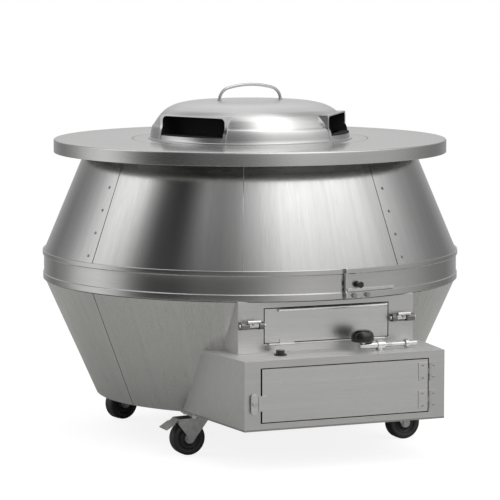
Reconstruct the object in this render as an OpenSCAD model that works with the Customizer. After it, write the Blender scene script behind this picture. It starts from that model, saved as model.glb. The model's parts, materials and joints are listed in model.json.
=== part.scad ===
// Gas tandoor: a clay pot in a double-cone steel casing on casters, with a burner box, a tray box and a vented lid.
// Millimetres. +Z is up, the burner and tray boxes face -Y. The origin is on the floor under the middle of the whole
// object; every module below is drawn about the pot's own upright axis and shifted by pot_y at the end of the file.

/* [Worktop] */
// Radius of the round worktop
top_r = 525; // [500:5:560]
// Height of the worktop's upper face above the floor
top_z = 784; // [770:2:800]
// Depth of the worktop's turned-down rim
rim_h = 35; // [25:1:45]
// Thickness of the worktop and ring plates
plate_t = 3; // [2:0.5:4]
// Radius of the loose ring plate round the mouth
ring_r = 314; // [300:2:340]

/* [Casing] */
// Outer radius of the casing under the worktop
neck_r = 429; // [410:1:445]
// Outer radius of the casing at its belly
belly_r = 551; // [540:1:565]
// Height of the belly band's upper edge
band_top_z = 490; // [480:1:505]
// Height of the belly band's lower edge
band_low_z = 413; // [405:1:425]
// Outer radius of the casing at its foot
foot_r = 415; // [405:1:425]
// Height of the casing's underside
base_z = 106; // [104:1:112]
// Thickness of the casing sheets
sheet_t = 2; // [1.5:0.5:3]
// Plan angle of the first panel seam, from the front towards the right
seam_deg = -69.5; // [-72:0.5:-60]
// Width of the seam between two panels
seam_gap = 2.2; // [0.8:0.2:3]
// Height between rivets along a seam
rivet_pitch = 57; // [45:1:60]

/* [Clay pot] */
// Inner radius of the pot's mouth
mouth_r = 195; // [180:1:205]
// Greatest outer radius of the pot
pot_r = 420; // [400:2:430]
// Thickness of the clay wall
clay_t = 40; // [30:1:45]
// Height of the deck that the pot stands on
deck_z = 400; // [398:1:406]
// Radius of the flame opening in the pot's floor
throat_r = 150; // [120:2:170]

/* [Lid] */
// Radius of the lid's dome at its base
lid_r = 267.5; // [255:0.5:275]
// Height of the dome
lid_h = 102; // [90:1:120]
// Thickness of the dome
lid_t = 2; // [1.5:0.5:3]
// Height of the vents' lower edge above the worktop
vent_low = 18; // [14:1:24]
// Height of the vents' upper edge above the worktop
vent_high = 67; // [55:1:72]
// Half of the width of a vent's hood
hood_half_w = 108; // [90:1:112]
// Distance of a hood's open face from the pot's axis
hood_front_r = 236; // [225:1:245]
// Distance of a hood's back wall from the pot's axis
hood_back_r = 195; // [185:1:205]
// Half of the handle's width
handle_half_w = 88; // [75:1:100]
// Radius of the handle's wire
handle_wire_r = 4; // [3:0.5:5]

/* [Burner housing] */
// Distance of its front inside the casing's belly
burner_setback = 44.5; // [35:0.5:50]
// Half of its width at the front
burner_half_w = 242.5; // [235:0.5:255]
// Half of the flap's width
flap_half_w = 170; // [150:1:180]
// Height of the flap's lower edge
flap_low_z = 306; // [304:1:312]
// Height of the flap
flap_h = 86; // [70:1:88]

/* [Tray housing] */
// Depth of the ledge in front of the burner housing
ledge_depth = 119.5; // [110:0.5:130]
// Half of its width at the front
tray_half_w = 273.5; // [268:0.5:285]
// Height of its top, which is the ledge
ledge_z = 281; // [276:1:286]
// Half of the door's width
door_half_w = 226.5; // [210:0.5:232]
// Height of the door's lower edge
door_low_z = 127; // [124:1:132]
// Height of the door
door_h = 133; // [120:1:136]
// Half of the drip tray's width
pan_half_w = 180; // [150:1:190]
// Depth of the drip tray
pan_h = 50; // [30:1:70]

/* [Gas fittings] */
// Sideways place of the gas knob
knob_x = 72; // [60:1:85]
// Radius of the gas knob
knob_r = 29; // [22:1:31]
// Height of the gas knob
knob_h = 31; // [24:1:33]
// Radius of the burner ring
burner_r = 120; // [105:1:130]
// Radius of the gas pipe
pipe_r = 6; // [4:0.5:8]

/* [Casters] */
// Radius of the caster wheels
wheel_r = 44; // [40:0.5:45]
// Width of the caster wheels
wheel_w = 38; // [30:1:40]
// Distance of an axle behind its swivel
trail = 35; // [28:1:38]
// Sideways place of the front casters
front_caster_x = 270; // [255:1:275]
// Distance of the front casters in front of the pot's axis
front_caster_y = 315; // [300:1:330]
// Sideways place of the rear casters
rear_caster_x = 245; // [235:1:255]
// Distance of the rear casters behind the pot's axis
rear_caster_y = 262; // [250:1:275]

/* [Hidden] */
$fn = 96;

steel = "silver";
dark_steel = "dimgray";
clay = "peru";
black = "#1c1c1c";

// Clearances: between sliding faces, around running pins, and around fixed parts in cut-outs
face_gap = 0.3;
pin_gap = 0.05;
cut_gap = 2;

panel_count = 4;
panel_step = 360 / panel_count;
casing_top_z = top_z - plate_t;
neck_flange = 25;
lap_z = (band_top_z + band_low_z) / 2;
seam_half_deg = seam_gap / belly_r * 90 / PI;

band_t = 2;
lip_t = 3.5;
upper_lip_h = 13;
lower_lip_h = 17;
band_lap_deg = 2.7;
band_r = belly_r + band_t;
lip_r = band_r + lip_t;

clamp_z = band_low_z + lower_lip_h + 6;
clamp_strap_h = 7;
clamp_strap_t = 4;
clamp_start_deg = 3.6;
clamp_end_deg = 18.5;
clamp_knob_deg = 6.9;
clamp_knob_r = 8;
clamp_knob_len = 16;

rivet_r = 4;
rivet_h = 2;
rivets_per_seam = 4;
rivet_low_z = band_top_z + 16;
rivet_offset = 24;

base_t = 4;
leg_w = 30;
leg_x = 330;
leg_y = 130;
deck_t = 5;
deck_hole_gap = 5;
deck_wall_gap = 2;
pot_foot_inset = 120;
pot_rim_drop = 3;
pot_foot_r = pot_r - pot_foot_inset;
pot_top_z = casing_top_z - pot_rim_drop;
pot_steps = 12;
pot_belly_at = 0.38;
insulation_gap = 0.5;
collar_w = 20;
collar_t = 2;

// The dome's outline: share of its radius and share of its height, from the base to the middle
lid_shape = [
  [1, 0], [0.983, 0.284], [0.957, 0.392], [0.931, 0.496], [0.903, 0.598],
  [0.864, 0.706], [0.807, 0.809], [0.703, 0.912], [0.501, 0.98], [0, 1]
];
lid_shape_guard = [[1, -0.2], [-0.501, 0.98]];
lid_steps = 4;
lid_flange_w = 6;
lid_flange_t = 3;
hood_t = 2.5;
hood_degs = [-61, 54, 176.5];
hood_low_z = top_z + vent_low;
hood_high_z = top_z + vent_high;
hood_shoulder_drop = 5;
handle_corner_r = 34;
handle_corner_deg = 75;
handle_top_r = (handle_half_w - handle_corner_r * (1 - cos(handle_corner_deg))) / cos(handle_corner_deg);
lid_top_z = top_z + lid_h;
handle_seat_drop = 0.5;
handle_foot_z = lid_top_z - handle_seat_drop;
handle_leg_len = 14;
handle_bead_r = handle_wire_r + 0.3;
handle_bead_half_len = 1.5;
handle_nut_r = 8;
handle_nut_h = 5;
handle_nut_low_z = lid_top_z - lid_t - handle_seat_drop - handle_nut_h - 0.7;
handle_collar_r = 6;
handle_collar_t = 2;

burner_flare = 0.1086;
tray_flare = 0.09;
burner_knee = 300;
tray_knee = 268;
housing_back = 210;
burner_front = belly_r - burner_setback;
tray_front = burner_front + ledge_depth;
deck_r = burner_front - sheet_t - deck_wall_gap;
soffit_z = band_low_z - sheet_t;
deck_low_z = deck_z - deck_t;

flap_lip_left = 134;
flap_roll_r = 4;
flap_roll_sunk = 0.5;
flap_roll_right_gap = 4;
hinge_pin_r = 1.8;
hinge_knuckle_r = 3.5;
leaf_t = 1.5;
flap_hinge_y = -burner_front - hinge_knuckle_r - face_gap;
flap_hinge_z = flap_low_z - cut_gap - 2;
flap_knuckle_len = 40;
flap_knuckle_inset = 60;
flap_knuckle_x = flap_half_w - flap_knuckle_inset;
flap_fixed_knuckle_len = 30;

bolt_inset = 36;
bolt_z = flap_low_z + 47;
bolt_r = 5;
bolt_tip_gap = 2;
bolt_tail = 4;
guide_len = 62;
guide_h = 20;
guide_plate_t = 3;
guide_r = 9.5;
guide_outer_len = 22;
guide_inner_len = 13;
bolt_standoff = guide_r + 0.5;
bolt_x = flap_half_w + bolt_tip_gap + bolt_inset;
bolt_post_r = 3.5;
bolt_bar_r = 4;
bolt_bar_half_len = 18;
bolt_bar_out = guide_r + bolt_bar_r + 2.5;
stud_r = 3;
stud_head_r = 6;
stud_head_t = 3;

door_gap = 2.5;
door_latch_side_gap = 4;
door_depth = 14;
door_hinge_out = 4;
door_hinge_x = door_half_w + door_hinge_out;
door_hinge_y = -tray_front - hinge_knuckle_r - face_gap;
door_hinge_h = 46;
door_hinge_inset = 31;
door_hinge_zs = [door_low_z + door_hinge_inset, door_low_z + door_h - door_hinge_inset];
door_leaf_w = 26;
frame_leaf_w = 18;
door_latch_x = -(door_half_w + 23.5);
door_latch_z = door_low_z + 48;
door_latch_half_len = 26;
door_latch_half_w = 9;
door_latch_t = 6;
keeper_w = 23;
keeper_h = 38;
keeper_t = 2;
keeper_x = -door_half_w - door_latch_side_gap - 6;
door_latch_standoff = keeper_t + 0.8;

tray_floor_z = base_z + base_t;
pan_lift = 23;
pan_z = tray_floor_z + pan_lift;
pan_t = 2;
pan_inset = 41;
pan_front = tray_front - pan_inset;
pan_back = 170;
runner_w = 26;
runner_lip_h = 16;
runner_inset = 26;
runner_front = tray_front - runner_inset;

drip_hole_r = 75;
burner_lift = 44;
burner_z = ledge_z + burner_lift;
burner_tube_r = 18;
burner_leg_r = 6;
burner_socket_r = 20;
burner_socket_len = 30;
burner_socket_front = burner_r + burner_socket_len;
venturi_r = 16;
venturi_bore_r = 13;
venturi_len = 180;
venturi_front = burner_socket_front + venturi_len;
riser_gap = 70;
riser_y = venturi_front + riser_gap;
deflector_r = 100;
deflector_lift = 40;
deflector_z = burner_z + deflector_lift;
deflector_t = 4;
deflector_leg_inset = 12;
deflector_leg_ring_r = deflector_r - deflector_leg_inset;
deflector_leg_r = 4;
electrode_at = [-106, -106];

valve_y = -(burner_front + tray_front) / 2;
valve_r = 9;
valve_z = ledge_z + valve_r + 4;
valve_len_right = 62;
outlet_offset = 48;
inlet_offset = 56;
outlet_x = knob_x + outlet_offset;
inlet_x = knob_x + valve_len_right + inlet_offset;
inlet_len = 24;
inlet_r = 7;
pipe_drop = 7;
pipe_low_z = ledge_z - sheet_t - pipe_r - pipe_drop;
spindle_r = 4;
spindle_h = 20;
knob_z = valve_z + valve_r + 2;
knob_straight_h = 12;

igniter_at = [-147, -553];
igniter_body_r = 16;
igniter_collar_h = 3;
igniter_button_r = 11;
igniter_button_h = 13;
igniter_travel = 6;
igniter_depth = 40;

caster_plate_t = 3.5;
caster_plate_w = 72;
caster_plate_l = 84;
caster_bolt_r = 4;
caster_bolt_x = 27;
caster_bolt_y = 32;
cup_r = 25;
cup_z = base_z - 8;
king_r = 6;
crown_r = 26;
crown_top_z = cup_z - face_gap;
crown_z = wheel_r * 2 + 3;
fork_leg_t = 3;
fork_half_w = wheel_w / 2 + 2;
axle_r = 5;
pedal_pin_r = 3;
pedal_x = trail + 27;
pedal_z = wheel_r + 45;
pedal_len = 42;
pedal_t = 3;
pedal_slope = 32;
casters = [
  [-front_caster_x, -front_caster_y, 180],
  [front_caster_x, -front_caster_y, 0],
  [-rear_caster_x, rear_caster_y, 195],
  [rear_caster_x, rear_caster_y, 60]
];

front_reach = tray_front + door_latch_standoff + door_latch_t + face_gap + stud_head_t;
pot_y = (front_reach - lip_r) / 2;

// Plan angle, from the front towards the right, to a turn about the upright axis
function heading(plan_deg) = plan_deg - 90;
function at_plan(r, plan_deg) = [r * sin(plan_deg), -r * cos(plan_deg)];
function upper_r(z) = neck_r + (belly_r - neck_r) * (casing_top_z - z) / (casing_top_z - band_top_z);
function spline(a, b, c, d, t) =
  ((2 * b) + (c - a) * t + (2 * a - 5 * b + 4 * c - d) * t * t + (3 * b - a - 3 * c + d) * t * t * t) / 2;
function lid_outline(inset) =
  let (
    p = concat([lid_shape_guard[0]], lid_shape, [lid_shape_guard[1]]),
    spans = len(lid_shape) - 1,
    shares = concat(
      [for (i = [1 : spans], k = [0 : lid_steps - 1]) spline(p[i - 1], p[i], p[i + 1], p[i + 2], k / lid_steps)],
      [lid_shape[spans]]
    )
  )
    [for (q = shares) [(lid_r - inset) * q[0], top_z + (lid_h - inset) * q[1]]];
function reversed(points) = [for (i = [len(points) - 1 : -1 : 0]) points[i]];
function pot_outer_r(u) =
  u < pot_belly_at
    ? pot_r - (pot_r - pot_foot_r) * pow(1 - u / pot_belly_at, 2)
    : pot_r - (pot_r - mouth_r - clay_t) * pow((u - pot_belly_at) / (1 - pot_belly_at), 2.2);
function pot_points(grow, low_z, high_z) = [
  for (i = [0 : pot_steps]) let (u = i / pot_steps) [pot_outer_r(u) + grow, low_z + (high_z - low_z) * u]
];
// Plan outline of a housing: its sides splay out to a knee and then run straight back
function housing_outline(half_w, front, flare, knee, back) =
  let (wide = half_w + flare * (front - knee))
    [[-half_w, -front], [half_w, -front], [wide, -knee], [wide, back], [-wide, back], [-wide, -knee]];

module at_axis() {
  translate([0, pot_y, 0])
    children();
}

module rod(a, b, r) {
  d = b - a;
  len = norm(d);
  translate(a)
    rotate([0, acos(d[2] / len), atan2(d[1], d[0])])
      cylinder(r = r, h = len);
}

module sector(plan_deg, half_deg, r0, r1, z0, z1) {
  rotate([0, 0, heading(plan_deg - half_deg)])
    rotate_extrude(angle = 2 * half_deg)
      translate([r0, z0])
        square([r1 - r0, z1 - z0]);
}

// ---- Base and pot ----

module caster_holes() {
  for (c = casters, sx = [-1, 1], sy = [-1, 1])
    translate([c[0] + sx * caster_bolt_x, c[1] + sy * caster_bolt_y, base_z - caster_plate_t - 1])
      cylinder(r = caster_bolt_r + 0.2, h = base_t + caster_plate_t + 2);
}

module base_plate() {
  color(dark_steel)
    difference() {
      translate([0, 0, base_z])
        linear_extrude(base_t)
          union() {
            circle(foot_r - sheet_t - 0.2);
            polygon(housing_outline(tray_half_w, tray_front, tray_flare, tray_knee, 0));
          }
      caster_holes();
    }
}

module deck_legs() {
  color(dark_steel)
    for (sx = [-1, 1], sy = [-1, 1])
      translate([sx * leg_x - leg_w / 2, sy * leg_y - leg_w / 2, tray_floor_z])
        cube([leg_w, leg_w, deck_low_z - tray_floor_z]);
}

module pot_deck() {
  color(dark_steel)
    translate([0, 0, deck_low_z])
      difference() {
        cylinder(r = deck_r, h = deck_t);
        translate([0, 0, -1])
          cylinder(r = throat_r + deck_hole_gap, h = deck_t + 2);
      }
}

module clay_pot() {
  color(clay)
    rotate_extrude()
      polygon(concat(
        [[throat_r, deck_z]],
        pot_points(0, deck_z, pot_top_z),
        reversed(pot_points(-clay_t, deck_z + clay_t, pot_top_z)),
        [[throat_r, deck_z + clay_t]]
      ));
}

module insulation() {
  top = pot_top_z - 2;
  color("lightyellow")
    rotate_extrude()
      difference() {
        polygon([
          [pot_foot_r, deck_z], [deck_r, deck_z], [deck_r, band_low_z + lower_lip_h],
          [belly_r - 6, band_low_z + lower_lip_h + 10], [belly_r - 6, band_top_z],
          [upper_r(top) - 5, top], [mouth_r + clay_t / 2, top]
        ]);
        polygon(concat(
          [[0, deck_z - 1], [pot_foot_r + insulation_gap, deck_z - 1]],
          pot_points(insulation_gap, deck_z, pot_top_z),
          [[0, pot_top_z]]
        ));
      }
}

// ---- Casing ----

module upper_panel(i) {
  color(steel)
    rotate([0, 0, heading(seam_deg + panel_step * i) + seam_half_deg])
      rotate_extrude(angle = panel_step - 2 * seam_half_deg)
        polygon([
          [neck_r - neck_flange, casing_top_z], [neck_r, casing_top_z],
          [belly_r, band_top_z], [belly_r, lap_z], [belly_r - sheet_t, lap_z], [belly_r - sheet_t, band_top_z],
          [neck_r - sheet_t, casing_top_z - sheet_t], [neck_r - neck_flange, casing_top_z - sheet_t]
        ]);
}

// The housings pass through the lower panels, so their outlines, run on to the front, are cut out
module housing_cut() {
  run_on = 150;
  translate([0, 0, base_z - 1])
    linear_extrude(ledge_z - base_z + 1)
      polygon(housing_outline(tray_half_w, tray_front, tray_flare, tray_knee, housing_back));
  translate([0, 0, ledge_z])
    linear_extrude(band_low_z - ledge_z + 1)
      polygon(housing_outline(
        burner_half_w - burner_flare * run_on, burner_front + run_on, burner_flare, burner_knee, housing_back
      ));
}

module lower_panel(i) {
  color(steel)
    difference() {
      rotate([0, 0, heading(seam_deg + panel_step * i) + seam_half_deg])
        rotate_extrude(angle = panel_step - 2 * seam_half_deg)
          polygon([
            [foot_r, base_z], [belly_r, band_low_z], [belly_r, lap_z], [belly_r - sheet_t, lap_z],
            [belly_r - sheet_t, band_low_z], [foot_r - sheet_t, base_z]
          ]);
      housing_cut();
    }
}

module belly_band() {
  color(steel)
    rotate([0, 0, heading(band_lap_deg) + 2 * seam_half_deg])
      rotate_extrude(angle = 360 - 2 * seam_half_deg)
        polygon([
          [belly_r, band_low_z], [lip_r - 2, band_low_z], [lip_r - 1, band_low_z + 1],
          [lip_r - 1, band_low_z + lower_lip_h - 1], [band_r, band_low_z + lower_lip_h + 1],
          [band_r, band_top_z - upper_lip_h - 1], [lip_r, band_top_z - upper_lip_h + 1],
          [lip_r, band_top_z - 1], [lip_r - 1, band_top_z], [belly_r, band_top_z]
        ]);
}

module inner_hoop() {
  color(dark_steel)
    rotate_extrude()
      translate([belly_r - sheet_t - 3, band_low_z + lower_lip_h])
        square([3, band_top_z - upper_lip_h - band_low_z - lower_lip_h]);
}

module band_clamp_strap() {
  mid = (clamp_start_deg + clamp_end_deg) / 2;
  color("gainsboro")
    sector(mid, (clamp_end_deg - clamp_start_deg) / 2, band_r, band_r + clamp_strap_t,
           clamp_z - clamp_strap_h / 2, clamp_z + clamp_strap_h / 2);
}

module band_clamp_knob() {
  color(black)
    translate(concat(at_plan(band_r + 0.2, clamp_knob_deg), [clamp_z + clamp_strap_h / 2 + clamp_knob_r + 1]))
      rotate([90, 0, clamp_knob_deg])
        union() {
          cylinder(r = clamp_knob_r * 0.6, h = clamp_knob_len * 0.4);
          translate([0, 0, clamp_knob_len * 0.4])
            cylinder(r = clamp_knob_r, h = clamp_knob_len * 0.6);
        }
}

module band_clamp_bolts() {
  color(dark_steel)
    for (plan_deg = [clamp_start_deg + 2, clamp_start_deg + 6])
      translate(concat(at_plan(lip_r - 0.8, plan_deg), [band_low_z + lower_lip_h / 2]))
        rotate([90, 0, plan_deg])
          cylinder(r = 6.5, h = 7, $fn = 6);
}

// Rivets stand on both long edges of every second panel
module panel_rivets() {
  slope = atan2(belly_r - neck_r, casing_top_z - band_top_z);
  color("gainsboro")
    for (i = [0 : panel_count - 1], k = [0 : rivets_per_seam - 1]) {
      side = i % 2 == 0 ? -1 : 1;
      z = rivet_low_z + rivet_pitch * k;
      plan_deg = seam_deg + panel_step * i + side * rivet_offset / upper_r(z) * 180 / PI;
      translate(concat(at_plan(upper_r(z) + 0.05, plan_deg), [z]))
        rotate([90 - slope, 0, plan_deg])
          cylinder(r1 = rivet_r, r2 = rivet_r * 0.6, h = rivet_h);
    }
}

// ---- Worktop ----

module worktop() {
  edge_r = 5;
  hem_w = 14;
  joggle = [ring_r - 18, ring_r + 12];
  color(steel)
    rotate_extrude()
      union() {
        translate([ring_r + seam_gap, casing_top_z])
          square([top_r - edge_r - ring_r - seam_gap, plate_t]);
        translate([top_r - edge_r, top_z - edge_r])
          circle(edge_r);
        translate([top_r - sheet_t - 1, top_z - rim_h])
          square([sheet_t + 1, rim_h - edge_r]);
        translate([top_r - hem_w, top_z - rim_h])
          square([hem_w, sheet_t]);
        translate([joggle[0], casing_top_z - plate_t])
          square([joggle[1] - joggle[0], plate_t]);
      }
}

module top_ring() {
  color(steel)
    translate([0, 0, casing_top_z])
      difference() {
        cylinder(r = ring_r, h = plate_t);
        translate([0, 0, -1])
          cylinder(r = mouth_r + 6, h = plate_t + 2);
      }
}

module mouth_collar() {
  color("gainsboro")
    rotate_extrude()
      union() {
        translate([mouth_r + 1, casing_top_z - 2.5])
          square([4.5, plate_t + 2.5]);
        translate([mouth_r + 1, top_z])
          square([collar_w, collar_t]);
      }
}

// ---- Lid ----

module lid_solid() {
  rotate_extrude()
    polygon(concat([[0, top_z]], lid_outline(0)));
}

// A box at a vent, from distance r0 to r1 in front of it
module vent_box(plan_deg, half_w, r0, r1, z0, z1) {
  rotate([0, 0, plan_deg])
    translate([-half_w, -r1, z0])
      cube([2 * half_w, r1 - r0, z1 - z0]);
}

module lid_dome() {
  color("gainsboro")
    difference() {
      rotate_extrude()
        union() {
          polygon(concat(lid_outline(0), reversed(lid_outline(lid_t))));
          translate([lid_r - lid_t, top_z])
            square([lid_flange_w + lid_t, lid_flange_t]);
        }
      for (plan_deg = hood_degs)
        vent_box(plan_deg, hood_half_w, hood_back_r, lid_r + 20, hood_low_z - hood_t, hood_high_z + hood_t);
      for (sx = [-1, 1])
        translate([sx * handle_half_w, 0, top_z])
          cylinder(r = handle_wire_r + pin_gap, h = lid_h + 1);
    }
}

// Each hood is a box open in front and below, whose sides and sill run on to the dome's outer face
module lid_vent_hoods() {
  low = hood_low_z - hood_t;
  inner_half_w = hood_half_w - hood_t;
  color("gainsboro")
    for (plan_deg = hood_degs)
      difference() {
        union() {
          vent_box(plan_deg, hood_half_w, hood_back_r, hood_front_r, low, hood_high_z + hood_t);
          intersection() {
            vent_box(plan_deg, hood_half_w, hood_back_r, lid_r + 20, low, hood_high_z - hood_shoulder_drop);
            lid_solid();
          }
        }
        vent_box(plan_deg, inner_half_w, hood_back_r + hood_t, lid_r + 21, hood_low_z, hood_high_z);
        vent_box(plan_deg, inner_half_w, hood_back_r + hood_t, hood_front_r - hood_t, low - 1, hood_low_z + 1);
      }
}

module handle_arc(r, from_deg, to_deg) {
  rotate([90, 0, 0])
    rotate([0, 0, from_deg])
      rotate_extrude(angle = to_deg - from_deg)
        translate([r, 0])
          circle(handle_wire_r);
}

module lid_handle() {
  joint_x = handle_half_w - handle_corner_r * (1 - cos(handle_corner_deg));
  joint_z = handle_foot_z + handle_corner_r * sin(handle_corner_deg);
  dx = handle_bead_half_len * sin(handle_corner_deg);
  dz = handle_bead_half_len * cos(handle_corner_deg);
  color("gainsboro")
    union() {
      for (sx = [-1, 1]) {
        translate([sx * handle_half_w, 0, handle_foot_z - handle_leg_len])
          cylinder(r = handle_wire_r, h = handle_leg_len);
        translate([sx * handle_half_w, 0, handle_foot_z])
          cylinder(r = handle_collar_r, h = handle_collar_t);
        translate([sx * (handle_half_w - handle_corner_r), 0, handle_foot_z])
          handle_arc(handle_corner_r, sx > 0 ? 0 : 180 - handle_corner_deg, sx > 0 ? handle_corner_deg : 180);
        rod([sx * (joint_x + dx), 0, joint_z - dz], [sx * (joint_x - dx), 0, joint_z + dz], handle_bead_r);
      }
      translate([0, 0, joint_z - handle_top_r * sin(handle_corner_deg)])
        handle_arc(handle_top_r, handle_corner_deg, 180 - handle_corner_deg);
    }
}

module lid_handle_nuts() {
  color("gainsboro")
    for (sx = [-1, 1])
      translate([sx * handle_half_w, 0, handle_nut_low_z])
        difference() {
          cylinder(r = handle_nut_r, h = handle_nut_h, $fn = 6);
          translate([0, 0, -1])
            cylinder(r = handle_wire_r + pin_gap, h = handle_nut_h + 2);
        }
}

// ---- Burner housing ----

module housing_walls(half_w, front, flare, knee, z0, z1) {
  translate([0, 0, z0])
    linear_extrude(z1 - z0)
      difference() {
        polygon(housing_outline(half_w, front, flare, knee, housing_back));
        polygon(housing_outline(half_w - sheet_t, front - sheet_t, flare, knee, housing_back - sheet_t));
      }
}

module soffit() {
  translate([0, 0, soffit_z])
    linear_extrude(sheet_t)
      difference() {
        union() {
          polygon(housing_outline(burner_half_w, burner_front, burner_flare, burner_knee, -burner_knee + 1));
          intersection() {
            circle(belly_r - sheet_t);
            translate([-burner_half_w, -belly_r])
              square([2 * burner_half_w, belly_r - burner_knee]);
          }
        }
        circle(deck_r + 1);
      }
}

module burner_housing() {
  color(steel)
    union() {
      difference() {
        housing_walls(burner_half_w, burner_front, burner_flare, burner_knee, ledge_z, soffit_z);
        translate([0, 0, deck_low_z])
          cylinder(r = deck_r + 1, h = band_low_z);
        translate([-flap_half_w - cut_gap, -burner_front - 1, flap_low_z - cut_gap])
          cube([2 * (flap_half_w + cut_gap), sheet_t + 2, flap_h + 2 * cut_gap]);
      }
      soffit();
    }
}

// Hinge knuckles along X, one for each start in starts
module x_knuckles(starts, len) {
  for (x = starts)
    translate([x, flap_hinge_y, flap_hinge_z])
      rotate([0, 90, 0])
        cylinder(r = hinge_knuckle_r, h = len);
}

module x_pin(r, reach) {
  translate([-reach, flap_hinge_y, flap_hinge_z])
    rotate([0, 90, 0])
      cylinder(r = r, h = 2 * reach);
}

module burner_flap() {
  color(steel)
    difference() {
      union() {
        translate([-flap_half_w, -burner_front, flap_low_z])
          cube([2 * flap_half_w, sheet_t, flap_h]);
        translate([
          -flap_lip_left, -burner_front - flap_roll_r + flap_roll_sunk, flap_low_z + flap_h - flap_roll_r
        ])
          rotate([0, 90, 0])
            cylinder(r = flap_roll_r, h = flap_lip_left + flap_half_w - flap_roll_right_gap);
        for (sx = [-1, 1])
          translate([sx * flap_knuckle_x - flap_knuckle_len / 2, 0, 0]) {
            translate([0, -burner_front - face_gap - leaf_t, flap_hinge_z])
              cube([flap_knuckle_len, leaf_t, flap_low_z - flap_hinge_z + 8]);
            translate([0, -burner_front - face_gap - leaf_t, flap_low_z])
              cube([flap_knuckle_len, leaf_t + face_gap, 8]);
            x_knuckles([0], flap_knuckle_len);
          }
      }
      x_pin(hinge_pin_r + pin_gap, flap_half_w);
    }
}

module flap_hinge() {
  outer = flap_knuckle_x + flap_knuckle_len / 2 + face_gap;
  starts = [-outer - flap_fixed_knuckle_len, outer];
  color("gainsboro")
    union() {
      for (x = starts) {
        x_knuckles([x], flap_fixed_knuckle_len);
        translate([x, -burner_front - leaf_t, flap_hinge_z - 14])
          cube([flap_fixed_knuckle_len, leaf_t, 14]);
      }
      x_pin(hinge_pin_r, flap_half_w - 10);
    }
}

// A slide bolt lies along X; s is the side of the flap that it stands on
module bolt_at(s) {
  translate([s * bolt_x, -burner_front - bolt_standoff, bolt_z])
    rotate([0, 90, s > 0 ? 0 : 180])
      children();
}

module bolt_guides() {
  color(dark_steel)
    for (s = [-1, 1])
      difference() {
        union() {
          translate([s * bolt_x - guide_len / 2, -burner_front - guide_plate_t, bolt_z - guide_h / 2])
            cube([guide_len, guide_plate_t, guide_h]);
          for (span = [[guide_len / 2 - guide_outer_len, guide_outer_len], [-guide_len / 2, guide_inner_len]]) {
            bolt_at(s)
              translate([0, 0, span[0]])
                cylinder(r = guide_r, h = span[1]);
            translate([s * (bolt_x + span[0] + span[1] / 2) - span[1] / 2, -burner_front - bolt_standoff, bolt_z - 6])
              cube([span[1], bolt_standoff - 1, 12]);
          }
        }
        bolt_at(s)
          translate([0, 0, -guide_len])
            cylinder(r = bolt_r + pin_gap, h = 2 * guide_len);
      }
}

module flap_bolt(s) {
  bar_shift = -1;
  color("gainsboro")
    union() {
      bolt_at(s)
        translate([0, 0, -bolt_inset])
          cylinder(r = bolt_r, h = bolt_inset + guide_len / 2 + bolt_tail);
      translate([s * (bolt_x + bar_shift), -burner_front - bolt_standoff, bolt_z])
        rotate([45, 0, 0]) {
          cylinder(r = bolt_post_r, h = bolt_bar_out);
          translate([-bolt_bar_half_len, 0, bolt_bar_out])
            rotate([0, 90, 0])
              cylinder(r = bolt_bar_r, h = 2 * bolt_bar_half_len);
        }
    }
}

module stud(len) {
  rotate([90, 0, 0])
    union() {
      cylinder(r = stud_r, h = len);
      translate([0, 0, len])
        cylinder(r = stud_head_r, h = stud_head_t);
    }
}

// ---- Tray housing ----

module tray_housing() {
  open_low = door_low_z - door_gap;
  open_h = door_h + 2 * door_gap;
  open_left = -door_half_w - door_latch_side_gap;
  color(steel)
    difference() {
      union() {
        housing_walls(tray_half_w, tray_front, tray_flare, tray_knee, tray_floor_z, ledge_z);
        translate([0, 0, ledge_z - sheet_t])
          linear_extrude(sheet_t)
            polygon(housing_outline(tray_half_w, tray_front, tray_flare, tray_knee, housing_back));
        translate([open_left - sheet_t, -tray_front, open_low])
          cube([sheet_t, door_depth, open_h]);
        translate([door_latch_x, sheet_t - tray_front, door_latch_z])
          stud(sheet_t + door_latch_standoff + door_latch_t + face_gap);
      }
      translate([open_left, -tray_front - 1, open_low])
        cube([door_half_w + door_gap - open_left, sheet_t + 2, open_h]);
      translate([0, 0, ledge_z - 2 * sheet_t])
        cylinder(r = drip_hole_r, h = 3 * sheet_t);
      translate([outlet_x, valve_y, ledge_z - 2 * sheet_t])
        cylinder(r = pipe_r + 0.5, h = 3 * sheet_t);
      translate([0, -riser_y, ledge_z - 2 * sheet_t])
        cylinder(r = pipe_r + 0.5, h = 3 * sheet_t);
      translate(concat(igniter_at, [ledge_z - 2 * sheet_t]))
        cylinder(r = igniter_body_r - 2, h = 3 * sheet_t);
    }
}

module z_knuckle(z, len, r) {
  translate([door_hinge_x, door_hinge_y, z])
    cylinder(r = r, h = len);
}

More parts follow.
